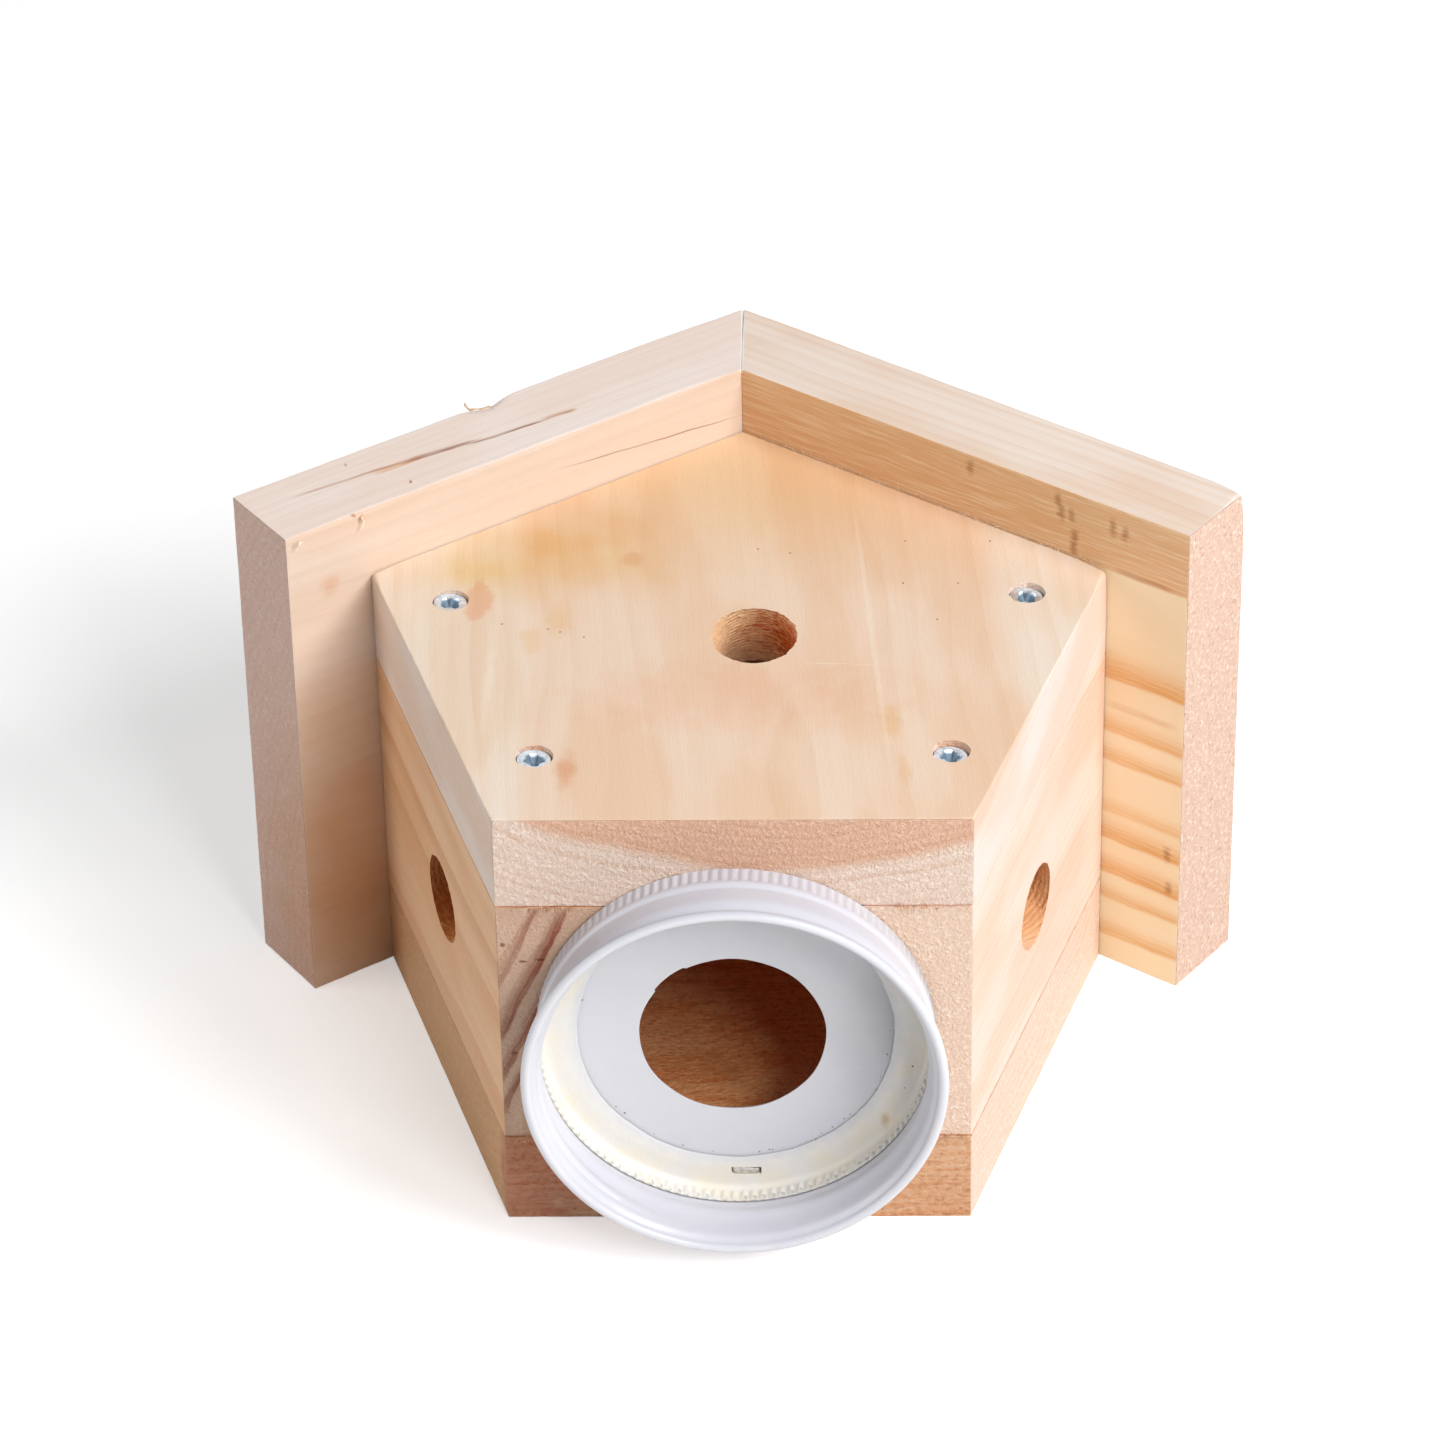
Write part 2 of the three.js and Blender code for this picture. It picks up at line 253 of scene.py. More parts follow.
def joined(name: str, parts: list[Solid]) -> bpy.types.Object:
    """Makes one object from several separate bodies.

    Args:
        name: Name of the piece.
        parts: Points and faces of each body.

    Returns:
        The object.
    """
    faces: Faces = []
    start = 0
    for points, own in parts:
        faces += [tuple(start + number for number in face) for face in own]
        start += len(points)
    return new_piece(name, np.concatenate([points for points, _ in parts]), faces)


def cut(piece: bpy.types.Object, cutter: bpy.types.Object) -> None:
    """Takes a cutter's volume out of a piece and drops the cutter."""
    modifier = piece.modifiers.new("cut", "BOOLEAN")
    modifier.operation = "DIFFERENCE"
    modifier.solver = "MANIFOLD"
    modifier.object = cutter
    graph = bpy.context.evaluated_depsgraph_get()
    mesh = bpy.data.meshes.new_from_object(piece.evaluated_get(graph))
    piece.modifiers.clear()
    old = piece.data
    mesh.name = old.name
    piece.data = mesh
    bpy.data.meshes.remove(old)
    bpy.data.objects.remove(cutter)
    soften(piece)


def hand_in(piece: bpy.types.Object, slot: str, finish: bpy.types.Material, *nodes: str) -> None:
    """Dresses a finished piece and fixes it to the trap.

    Args:
        piece: The object.
        slot: The record's material slot; not used.
        finish: Its material.
        nodes: CAD nodes that it stands for.
    """
    piece.data.materials.clear()
    piece.data.materials.append(finish)
    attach(piece, BODY)
    if nodes:
        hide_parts(*nodes)
    LOG.info("%s: %d faces", piece.name, len(piece.data.polygons))


def axis_rings(start: np.ndarray, direction: np.ndarray, stations: Sequence[float], around: int,
               radius: Callable[[np.ndarray, np.ndarray], np.ndarray]) -> Rings:
    """Rings of points about an axis.

    Args:
        start: A point on the axis.
        direction: The axis as a unit vector.
        stations: Distances along the axis.
        around: Points in a ring.
        radius: Gives each point's radius from the station and the angle.

    Returns:
        The rings in order.
    """
    turn = Vector((0, 0, 1)).rotation_difference(Vector(direction))
    side = np.array(turn @ Vector((1, 0, 0)))
    other = np.array(turn @ Vector((0, 1, 0)))
    angles = np.linspace(0, 2 * math.pi, around, endpoint=False)
    rings: Rings = []
    for station in stations:
        size = radius(np.full(around, station), angles)
        rings.append(start + direction * station + np.outer(size * np.cos(angles), side)
                     + np.outer(size * np.sin(angles), other))
    return rings


def steady(size: float) -> Callable[[np.ndarray, np.ndarray], np.ndarray]:
    """A radius for axis_rings that is the same at every point."""
    return lambda at, _: np.full(len(at), size)


# Materials


class Blend(Enum):
    """How a mark changes the colour under it."""

    STAIN = "MULTIPLY"
    COVER = "MIX"


@dataclass(frozen=True)
class Mark:
    """A stain, speck or scratch on a surface, or a patch of painted shade or light, as a soft ellipsoid in
    space.

    Noise of the ragged size and shape breaks up its outline, and faces that look the spared way stay clean.
    """

    centre: Point
    size: Point
    colour: str
    strength: float = 1.0
    softness: float = 0.8
    ragged: float = 0.6
    ragged_size: float = 4.0
    blend: Blend = Blend.STAIN
    turn: float = 0.0
    ragged_shape: Point = (1.0, 1.0, 1.0)
    spared: Point | None = None


@dataclass(frozen=True)
class Stripe:
    """A growth ring or crack that shows as a line on one face, or a band of painted shade, sharp on one side
    and soft on the other.
    """

    at: Point
    across: Point
    way: Point
    width: float
    colour: str
    strength: float = 1.0
    reach: float = 60.0
    edge: float = 0.5
    waver: float = 0.7


class Graph:
    """The nodes of one material."""

    def __init__(self, name: str) -> None:
        """Starts a material whose only node so far is its output."""
        self.material = bpy.data.materials.new(name)
        self.material.use_nodes = True
        self.tree = self.material.node_tree
        self.tree.nodes.clear()
        self.output = self.add("ShaderNodeOutputMaterial")
        coordinates = self.add("ShaderNodeTexCoord")
        self.normal = coordinates.outputs["Normal"]
        self.place = self.vector("SCALE", coordinates.outputs["Object"], scale=1 / MM)

    def add(self, kind: str, **settings: object) -> bpy.types.Node:
        """Adds a node and sets its options."""
        node = self.tree.nodes.new(kind)
        for key, value in settings.items():
            setattr(node, key, value)
        return node

    def feed(self, socket: Socket, value: object) -> None:
        """Links a socket to another or sets its value."""
        if isinstance(value, bpy.types.NodeSocket):
            self.tree.links.new(value, socket)
        else:
            socket.default_value = value

    def math(self, operation: str, *values: Value, clamp: bool = False) -> Socket:
        """Adds a sum of one to three numbers."""
        node = self.add("ShaderNodeMath", operation=operation, use_clamp=clamp)
        for socket, value in zip(node.inputs, values):
            self.feed(socket, value)
        return node.outputs[0]

    def vector(self, operation: str, *values: object, scale: Value | None = None) -> Socket:
        """Adds a sum of vectors.

        Args:
            operation: Its name in Blender.
            values: One or two vectors.
            scale: The number that SCALE multiplies by.

        Returns:
            The result, which is a number for a length or a dot product.
        """
        node = self.add("ShaderNodeVectorMath", operation=operation)
        for socket, value in zip(node.inputs, values):
            self.feed(socket, value)
        if scale is not None:
            self.feed(node.inputs["Scale"], scale)
        number = operation in ("DOT_PRODUCT", "LENGTH", "DISTANCE")
        return node.outputs["Value" if number else "Vector"]

    def combine(self, *values: Value) -> Socket:
        """Makes a vector from three numbers."""
        node = self.add("ShaderNodeCombineXYZ")
        for socket, value in zip(node.inputs, values):
            self.feed(socket, value)
        return node.outputs[0]

    def cloud(self, vector: Socket, scale: float, detail: float = 2.0, roughness: float = 0.5) -> Socket:
        """Adds smooth noise around one half."""
        node = self.add("ShaderNodeTexNoise")
        self.feed(node.inputs["Vector"], vector)
        for key, value in (("Scale", scale), ("Detail", detail), ("Roughness", roughness)):
            node.inputs[key].default_value = value
        return node.outputs[0]

    def cloud_vector(self, vector: Socket, scale: float) -> Socket:
        """Adds noise with three numbers around one half."""
        node = self.add("ShaderNodeTexNoise")
        self.feed(node.inputs["Vector"], vector)
        node.inputs["Scale"].default_value = scale
        return node.outputs[1]

    def remap(self, value: Value, old: tuple[float, float], new: tuple[float, float] = (0.0, 1.0),
              smooth: bool = True) -> Socket:
        """Maps one range to another and holds it at the ends."""
        node = self.add("ShaderNodeMapRange", clamp=True,
                        interpolation_type="SMOOTHSTEP" if smooth else "LINEAR")
        for socket, number in zip(node.inputs, (value, *old, *new)):
            self.feed(socket, number)
        return node.outputs[0]

    def tint(self, share: Value, under: object, over: object, blend: Blend = Blend.COVER) -> Socket:
        """Lays one colour over another."""
        node = self.add("ShaderNodeMix", data_type="RGBA", blend_type=blend.value, clamp_factor=True)
        for index, value in ((0, share), (6, under), (7, over)):
            self.feed(node.inputs[index], value)
        return node.outputs[2]

    def wash(self, colour: object, over: str, pattern: Socket, span: tuple[float, float],
             most: float = 1.0, blend: Blend = Blend.COVER) -> Socket:
        """Lays a colour over another where a pattern is strong.

        Args:
            colour: The colour so far.
            over: The colour that goes on, as six hex digits.
            pattern: The pattern that shares it out.
            span: Values of the pattern where it starts and where it is full.
            most: Share of the new colour where it is full.
            blend: How it changes the colour under it.

        Returns:
            The colour with the wash on it.
        """
        return self.tint(self.remap(pattern, span, (0.0, most)), colour, shade(over), blend)

    def bump(self, height: Socket, distance: float) -> Socket:
        """Adds relief of a height in millimetres times the distance."""
        node = self.add("ShaderNodeBump")
        node.inputs["Strength"].default_value = 1.0
        node.inputs["Distance"].default_value = distance * MM
        self.feed(node.inputs["Height"], height)
        return node.outputs[0]

    def specks(self, scale: float, size: float, share: float) -> Socket:
        """Scattered dots.

        Args:
            scale: Cells to a millimetre.
            size: Radius of a dot as a part of its cell.
            share: Part of the cells that hold a dot.

        Returns:
            One inside a dot and zero outside.
        """
        node = self.add("ShaderNodeTexVoronoi")
        self.feed(node.inputs["Vector"], self.place)
        node.inputs["Scale"].default_value = scale
        picked = self.math("LESS_THAN", self.vector("DOT_PRODUCT", node.outputs["Color"], (1, 0, 0)), share)
        near = self.remap(node.outputs["Distance"], (size, size * 0.5))
        return self.math("MULTIPLY", picked, near)

    def marked(self, colour: Socket, marks: Sequence[Mark]) -> Socket:
        """Lays marks over a colour.

        Args:
            colour: The colour so far.
            marks: The marks in the order in which they go on.

        Returns:
            The colour with the marks on it.
        """
        for mark in marks:
            offset = self.vector("SUBTRACT", self.place, mark.centre)
            if mark.turn:
                rotate = self.add("ShaderNodeVectorRotate", rotation_type="Z_AXIS")
                self.feed(rotate.inputs["Vector"], offset)
                rotate.inputs["Angle"].default_value = -math.radians(mark.turn)
                offset = rotate.outputs[0]
            shrunk = self.vector("DIVIDE", offset, mark.size)
            ragged_place = self.vector("MULTIPLY", self.place, mark.ragged_shape)
            ragged = self.cloud(ragged_place, 1 / mark.ragged_size, 3.0, 0.6)
            shift = self.math("MULTIPLY_ADD", ragged, mark.ragged * 2, -mark.ragged)
            reach = self.math("ADD", self.vector("LENGTH", shrunk), shift)
            share = self.remap(reach, (1.0, 1 - mark.softness), (0.0, mark.strength))
            if mark.spared:
                facing = self.vector("DOT_PRODUCT", self.normal, mark.spared)
                share = self.math("MULTIPLY", share, self.remap(facing, (0.97, 0.85)))
            colour = self.tint(share, colour, shade(mark.colour), mark.blend)
        return colour

    def striped(self, colour: Socket, stripes: Sequence[Stripe]) -> Socket:
        """Draws stripes over a colour.

        Args:
            colour: The colour so far.
            stripes: The stripes in the order in which they go on.

        Returns:
            The colour with the stripes on it.
        """
        for stripe in stripes:
            across = unit(stripe.across)
            offset = self.vector("SUBTRACT", self.place, stripe.at)
            along = self.vector("DOT_PRODUCT", offset, tuple(unit(np.cross(stripe.way, across))))
            wander = self.cloud(self.place, 0.13, 2.0)
            bend = self.math("MULTIPLY_ADD", wander, 2 * stripe.waver, -stripe.waver)
            off = self.math("ADD", self.vector("DOT_PRODUCT", offset, tuple(across)), bend)
            squeezed = self.combine(self.math("MULTIPLY", off, 2.2), self.math("MULTIPLY", along, 0.07), 0.0)
            fibre = self.cloud(squeezed, 1.0, 3.0, 0.6)
            share = self.math("MULTIPLY", self.remap(off, (stripe.width, 0.0)),
                              self.remap(off, (-stripe.edge, 0.0)))
            for part in (self.remap(self.math("ABSOLUTE", along), (stripe.reach, stripe.reach * 0.5)),
                         self.remap(self.vector("DOT_PRODUCT", self.normal, stripe.way), (0.7, 0.95)),
                         self.remap(fibre, (0.25, 0.6), (0.35 * stripe.strength, stripe.strength))):
                share = self.math("MULTIPLY", share, part)
            colour = self.tint(share, colour, shade(stripe.colour), Blend.STAIN)
        return colour

    def principled(self, colour: object, roughness: object, normal: Socket,
                   **values: float) -> bpy.types.Material:
        """Closes the material with one surface shader.

        Args:
            colour: Base colour or its socket.
            roughness: Roughness or its socket.
            normal: Relief.
            values: Other inputs by name, with underscores for spaces.

        Returns:
            The finished material.
        """
        shader = self.add("ShaderNodeBsdfPrincipled")
        self.feed(shader.inputs["Base Color"], colour)
        self.feed(shader.inputs["Roughness"], roughness)
        self.feed(shader.inputs["Normal"], normal)
        for key, value in values.items():
            shader.inputs[key.replace("_", " ")].default_value = value
        self.tree.links.new(shader.outputs[0], self.output.inputs["Surface"])
        return self.material


@dataclass(frozen=True)
class Cast:
    """A tint over the faces of a board that look one way; some casts are painted shade."""

    way: Point
    colour: str
    sharp: tuple[float, float] = (0.7, 0.95)
    share: float = 1.0
    blend: Blend = Blend.STAIN


@dataclass(frozen=True)
class WoodFinish:
    """Bare planed softwood, coloured as the rings of one log cut through by every face.

    The pith is a point on the log's axis in the trap's frame, so that rings run on from face to face. Torn is
    the share of lifted fibres on the long faces, and heart is the radius of the darker heartwood.
    """

    name: str
    grain: Point
    pith: Point
    ring: float
    early: str
    late: str
    end_early: str
    end_late: str
    contrast: float = 0.8
    late_start: float = 0.3
    wobble: float = 4.0
    streaks: float = 0.25
    blotch: str = "f4e2d0"
    end_fleck: str = "fdf0e2"
    end_pit: str = "a87452"
    end_relief: float = 0.45
    long_relief: float = 0.06
    torn: float = 0.0
    heart: float = 0.0
    heart_tint: str = "f0d0bc"
    heart_end_tint: str = "e6bca6"
    end_rings: float = 1.0
    pores: float = 0.0
    pore_turn: float = 0.0
    casts: tuple[Cast, ...] = ()
    stripes: tuple[Stripe, ...] = ()
    marks: tuple[Mark, ...] = ()

    def material(self) -> bpy.types.Material:
        """Builds the wood from its rings, fibres, end grain and marks."""
        graph = Graph(self.name)
        grain = unit(self.grain)
        across = unit(np.cross(grain, (0, 0, 1)))
        upward = np.cross(across, grain)
        offset = graph.vector("SUBTRACT", graph.place, self.pith)
        log = graph.combine(*(graph.vector("DOT_PRODUCT", offset, tuple(axis))
                              for axis in (across, upward, grain)))
        late, radius = self.rings(graph, log)
        end = graph.remap(graph.math("ABSOLUTE", graph.vector("DOT_PRODUCT", graph.normal, tuple(grain))),
                          (0.62, 0.9))
        face, face_height = self.long_grain(graph, log, late)
        cut_end, end_height = self.end_grain(graph, log, late)
        colour = graph.tint(end, face, cut_end)
        if self.heart:
            inside = graph.remap(radius, (self.heart + 0.8, self.heart - 0.8))
            tint = graph.tint(end, shade(self.heart_tint), shade(self.heart_end_tint))
            colour = graph.tint(inside, colour, tint, Blend.STAIN)
        for cast in self.casts:
            facing = graph.vector("DOT_PRODUCT", graph.normal, cast.way)
            colour = graph.wash(colour, cast.colour, facing, cast.sharp, cast.share, cast.blend)
        colour = graph.striped(colour, self.stripes)
        colour = graph.marked(colour, self.marks)
        height = graph.math("ADD", graph.math("MULTIPLY", face_height, graph.math("SUBTRACT", 1.0, end)),
                            graph.math("MULTIPLY", end_height, end))
        rub = graph.cloud(graph.place, 0.8, 3.0, 0.6)
        roughness = graph.remap(rub, (0.3, 0.7), (0.5, 0.68), smooth=False)
        return graph.principled(colour, roughness, graph.bump(height, 1.0), Specular_IOR_Level=0.3)

    def long_grain(self, graph: Graph, log: Socket, late: Socket) -> tuple[Socket, Socket]:
        """Gives the colour and relief of the planed faces."""
        streak = graph.cloud(graph.vector("MULTIPLY", log, (1.4, 1.4, 0.03)), 1.0, 4.0, 0.6)
        fine = graph.cloud(graph.vector("MULTIPLY", log, (5.0, 5.0, 0.3)), 1.0, 3.0, 0.6)
        drift = graph.cloud(graph.vector("MULTIPLY", log, (0.06, 0.06, 0.02)), 1.0, 2.0)
        colour = graph.tint(late, shade(self.early), shade(self.late))
        colour = graph.wash(colour, self.late, streak, (0.42, 0.68), self.streaks)
        colour = graph.wash(colour, self.blotch, drift, (0.4, 0.62), 0.6, Blend.STAIN)
        colour = graph.wash(colour, self.late, fine, (0.56, 0.74), 0.3)
        height = graph.math("MULTIPLY_ADD", fine, self.long_relief, graph.math("MULTIPLY", late, 0.03))
        if self.torn:
            tufts = graph.cloud(graph.vector("MULTIPLY", log, (1.3, 1.3, 0.8)), 1.0, 4.0, 0.65)
            colour = graph.wash(colour, self.end_fleck, tufts, (0.5, 0.7), self.torn)
            colour = graph.wash(colour, self.end_pit, tufts, (0.5, 0.3), 0.6 * self.torn, Blend.STAIN)
            height = graph.math("MULTIPLY_ADD", tufts, self.torn, height)
        return colour, height

    def end_grain(self, graph: Graph, log: Socket, late: Socket) -> tuple[Socket, Socket]:
        """Gives the colour and relief of the sawn ends."""
        lumps = graph.cloud(graph.place, 1.3, 3.0, 0.62)
        pores = graph.cloud(graph.place, 3.6, 2.0, 0.6)
        rings = graph.math("MULTIPLY", late, self.end_rings)
        colour = graph.tint(rings, shade(self.end_early), shade(self.end_late))
        colour = graph.wash(colour, self.end_fleck, lumps, (0.5, 0.7), 0.6)
        colour = graph.wash(colour, self.end_pit, pores, (0.42, 0.3), 0.4, Blend.STAIN)
        if self.pores:
            rotate = graph.add("ShaderNodeVectorRotate", rotation_type="Z_AXIS")
            graph.feed(rotate.inputs["Vector"], log)
            rotate.inputs["Angle"].default_value = math.radians(self.pore_turn)
            dashes = graph.cloud(graph.vector("MULTIPLY", rotate.outputs[0], (2.4, 0.7, 0.0)), 1.0, 2.0, 0.6)
            colour = graph.wash(colour, self.end_pit, dashes, (0.6, 0.7), self.pores, Blend.STAIN)
        height = graph.math("MULTIPLY_ADD", lumps, self.end_relief, graph.math("MULTIPLY", pores, 0.2))
        return colour, height

    def rings(self, graph: Graph, log: Socket) -> tuple[Socket, Socket]:
        """Gives the share of dark late wood at each point of the log, and the distance from its pith."""
        stretched = graph.vector("MULTIPLY", log, (0.03, 0.03, 0.007))
        wander = graph.vector("SUBTRACT", graph.cloud_vector(stretched, 1.0), (0.5, 0.5, 0.5))
        bent = graph.vector("ADD", log, graph.vector("SCALE", wander, scale=2 * self.wobble))
        radius = graph.vector("LENGTH", graph.vector("MULTIPLY", bent, (1, 1, 0)))
        pace = graph.cloud(graph.combine(graph.math("MULTIPLY", radius, 0.11), 3.7, 0.0), 1.0, 1.0)
        year = graph.math("MULTIPLY_ADD", pace, 2.2, graph.math("DIVIDE", radius, self.ring))
        part = graph.math("FRACT", year)
        dice = graph.add("ShaderNodeTexWhiteNoise", noise_dimensions="1D")
        graph.feed(dice.inputs["W"], graph.math("FLOOR", year))
        depth = graph.math("MULTIPLY_ADD", dice.outputs[0], 0.75 * self.contrast, 0.25 * self.contrast)
        rise = graph.remap(part, (self.late_start, 0.92))
        fall = graph.remap(part, (1.0, 0.93))
        return graph.math("MULTIPLY", graph.math("MULTIPLY", rise, fall), depth), radius


# Boards


@dataclass(frozen=True)
class Worn:
    """A spot where an edge is rounder than elsewhere."""

    centre: Point
    reach: float
    depth: float


def graded(length: float, pitch: float) -> np.ndarray:
    """Positions from 0 to a length, a pitch apart in the middle and closer near the ends."""
    near = [step for step in (0, 0.1, 0.22, 0.38, 0.6, 0.9, 1.4, 2.1, 3.2) if step < length / 2 - pitch / 2]
    middle = np.linspace(near[-1], length - near[-1], max(2, round((length - 2 * near[-1]) / pitch) + 1))
    return np.concatenate([near[:-1], middle, length - np.array(near[:-1][::-1])])


@dataclass
class Board:
    """One sawn board: a flat outline with a thickness, worn edges and whatever is cut out of it.

    The cap is a row of extra margins that carry the mesh on towards the middle of both faces.
    """

    name: str
    slot: str
    outline: np.ndarray
    low: float
    high: float
    finish: WoodFinish
    seed: float
    worn: tuple[Worn, ...] = ()
    edge_round: float = 0.28
    edge_waver: float = 0.16
    pitch: float = 1.5
    bend: Callable[[np.ndarray], np.ndarray] | None = None
    cutters: list["Cutter"] = field(default_factory=list)
    cap: tuple[float, ...] = ()

    def insets(self) -> np.ndarray:
        """How each corner moves when the outline shrinks by one."""
        sides = np.roll(self.outline, -1, 0) - self.outline
        normals = np.array([(side[1], -side[0]) / np.linalg.norm(side) for side in sides])
        return np.array([np.linalg.solve([normals[number - 1], normals[number]], [-1, -1])
                         for number in range(len(self.outline))])

    def rings(self) -> Rings:
        """Rings of points over the back face, the edges and the front face."""
        insets = self.insets()
        margins = graded(self.high - self.low, self.pitch)
        margins = np.concatenate([margins[margins < min(3.3, (self.high - self.low) / 2)], self.cap])
        heights = graded(self.high - self.low, self.pitch) + self.low
        levels = [(self.low, margin) for margin in margins[:0:-1]]
        levels += [(height, 0.0) for height in heights]
        levels += [(self.high, margin) for margin in margins[1:]]
        count = len(self.outline)
        rings: Rings = []
        for height, margin in levels:
            corners = self.outline + insets * margin
            row = []
            for number in range(count):
                start, end = corners[number], corners[(number + 1) % count]
                length = float(np.linalg.norm(self.outline[(number + 1) % count] - self.outline[number]))
                shares = graded(length, self.pitch)[:-1] / length
                row.append(start + np.outer(shares, end - start))
            flat = np.concatenate(row)
            rings.append(np.column_stack([flat, np.full(len(flat), height)]))
        return rings

    def rounded(self, points: np.ndarray) -> np.ndarray:
        """Rounds the edges, more where they are worn."""
        waver = rough(points, 5.0, self.seed) + 0.6 * rough(points, 1.3, self.seed + 9)
        radius = self.edge_round + self.edge_waver * waver
        for spot in self.worn:
            far = np.linalg.norm(points - np.array(spot.centre), axis=1) / spot.reach
            radius = radius + spot.depth * np.exp(-far * far)
        radius = np.clip(radius, 0.06, 3.0)
        inner = self.outline[None] + radius[:, None, None] * self.insets()[None]
        flat = points[:, :2]
        best = np.full(len(points), np.inf)
        nearest = flat.copy()
        inside = np.ones(len(points), bool)
        for number in range(len(self.outline)):
            start, end = inner[:, number], inner[:, (number + 1) % len(self.outline)]
            side = end - start
            share = np.clip(((flat - start) * side).sum(1) / (side * side).sum(1), 0, 1)
            foot = start + side * share[:, None]
            gap = np.linalg.norm(flat - foot, axis=1)
            closer = gap < best
            best[closer] = gap[closer]
            nearest[closer] = foot[closer]
            inside &= side[:, 0] * (flat - start)[:, 1] - side[:, 1] * (flat - start)[:, 0] >= 0
        nearest[inside] = flat[inside]
        height = np.clip(points[:, 2], self.low + radius, self.high - radius)
        core = np.column_stack([nearest, height])
        away = points - core
        size = np.linalg.norm(away, axis=1)
        factor = np.where(size > 1e-9, radius / np.maximum(size, 1e-9), 0)
        return core + away * factor[:, None]

    def build(self) -> None:
        """Makes the board, cuts it and hands it in."""
        rings = self.rings()
        around = len(rings[0])
        points = self.rounded(np.concatenate(rings))
        if self.bend:
            points = self.bend(points)
        piece = new_piece(f"board.{self.name}", points, ring_faces(len(rings), around, False))
        if self.cutters:
            cut(piece, joined("cutter", [body for cutter in self.cutters for body in cutter.bodies()]))
        hand_in(piece, self.slot, self.finish.material(), self.name)


# What is cut out of the boards


def block(low: np.ndarray, high: np.ndarray) -> Solid:
    """Points and faces of a box between two corners."""
    corners = ((low[0], low[2]), (low[0], high[2]), (high[0], high[2]), (high[0], low[2]))
    rings = [np.array([(x, y, z) for x, z in corners]) for y in (low[1], high[1])]
    return np.concatenate(rings), ring_faces(2, 4, False)


class Cutter:
    """A volume taken out of a board."""

    def bodies(self) -> list[Solid]:
        """Gives the points and faces of each closed body."""
        raise NotImplementedError


@dataclass(frozen=True)
class Bore(Cutter):
    """A slanted entry hole with rough walls and torn mouths."""

    mouth: np.ndarray
    inward: np.ndarray
    upward: np.ndarray
    seed: float
    radius: float = 8.0
    tilt: float = math.radians(30)
    overrun: float = 6.0
    around: int = 128
    tear: float = 0.42

    def bodies(self) -> list[Solid]:
        """Gives the drilled volume."""
        axis = self.inward * math.cos(self.tilt) + self.upward * math.sin(self.tilt)
        run = PLAN.board / math.cos(self.tilt)
        stations = np.arange(-self.overrun, run + self.overrun, 0.35)
        rings = axis_rings(self.mouth, axis, stations, self.around, steady(self.radius))
        points = np.concatenate(rings)
        depth = (points - self.mouth) @ self.inward
        along = (points - self.mouth) @ axis
        core = self.mouth + np.outer(along, axis)
        out = (points - core) / self.radius
        lip = np.exp(-(depth / 1.1) ** 2) + np.exp(-((depth - PLAN.board) / 1.4) ** 2)
        grooves = 0.05 * np.sin(along * 5.2 + 2 * rough(points, 5.0, self.seed + 3))
        walls = 0.08 * rough(points, 2.2, self.seed) + 0.13 * rough(points, 0.6, self.seed + 5)
        torn = self.tear * np.maximum(rough(points, 0.7, self.seed + 7), 0) * lip
        grown = self.radius + walls + grooves + torn
        points = core + out * grown[:, None]
        return [(points, ring_faces(len(stations), self.around, False))]


@dataclass(frozen=True)
class ScrewSize:
    """Sizes of the wood screws, whose shank is bare for a length under the head."""

    head: float = 6.3
    rim: float = 0.3
    head_height: float = 2.3
    shank: float = 3.5
    root: float = 2.3
    length: float = 41.3
    tip: float = 5.0
    lead: float = 2.4
    bare: float = 9.0


SCREW = ScrewSize()


@dataclass(frozen=True)
class Pocket(Cutter):
    """The hole of one wood screw, crushed a little wider than its head."""

    spot: np.ndarray
    direction: np.ndarray
    seed: float
    around: int = 40
    grow: float = 0.2
    headroom: float = 5.0

    def bodies(self) -> list[Solid]:
        """Gives the screw's own volume, grown, with room over its head."""
        head, shank = SCREW.head / 2, SCREW.shank / 2
        profile = [(at, head) for at in (-self.headroom, -1.3, -0.9, -0.5, 0.0, SCREW.rim)]
        profile += [(SCREW.head_height, shank), (SCREW.length - SCREW.tip, shank), (SCREW.length, 0.05)]
        rings: Rings = []
        for at, size in profile:
            station = at + (self.grow if at > 0 else 0)
            ring = axis_rings(self.spot, self.direction, [station], self.around, steady(size + self.grow))[0]
            if station < SCREW.rim:
                crush = 0.14 + 0.2 * rough(ring, 1.4, self.seed)
                middle = self.spot + self.direction * station
                ring += (ring - middle) / head * crush[:, None]
            rings.append(ring)
        return [(np.concatenate(rings), ring_faces(len(rings), self.around, False))]


@dataclass(frozen=True)
class LegSlot(Cutter):
    """The two slits that a staple's legs cut."""

    place: np.ndarray
    reach: float = 15.2
    outer: float = 2.85
    inner: float = 1.65
    half: float = 0.8
    overrun: float = 2.0

    def bodies(self) -> list[Solid]:
        """Gives one slit for each leg."""
        low, high = (-self.overrun, -self.half), (self.reach, self.half)
        return [block(self.place + (near, *low), self.place + (far, *high))
                for near, far in ((-self.outer, -self.inner), (self.inner, self.outer))]


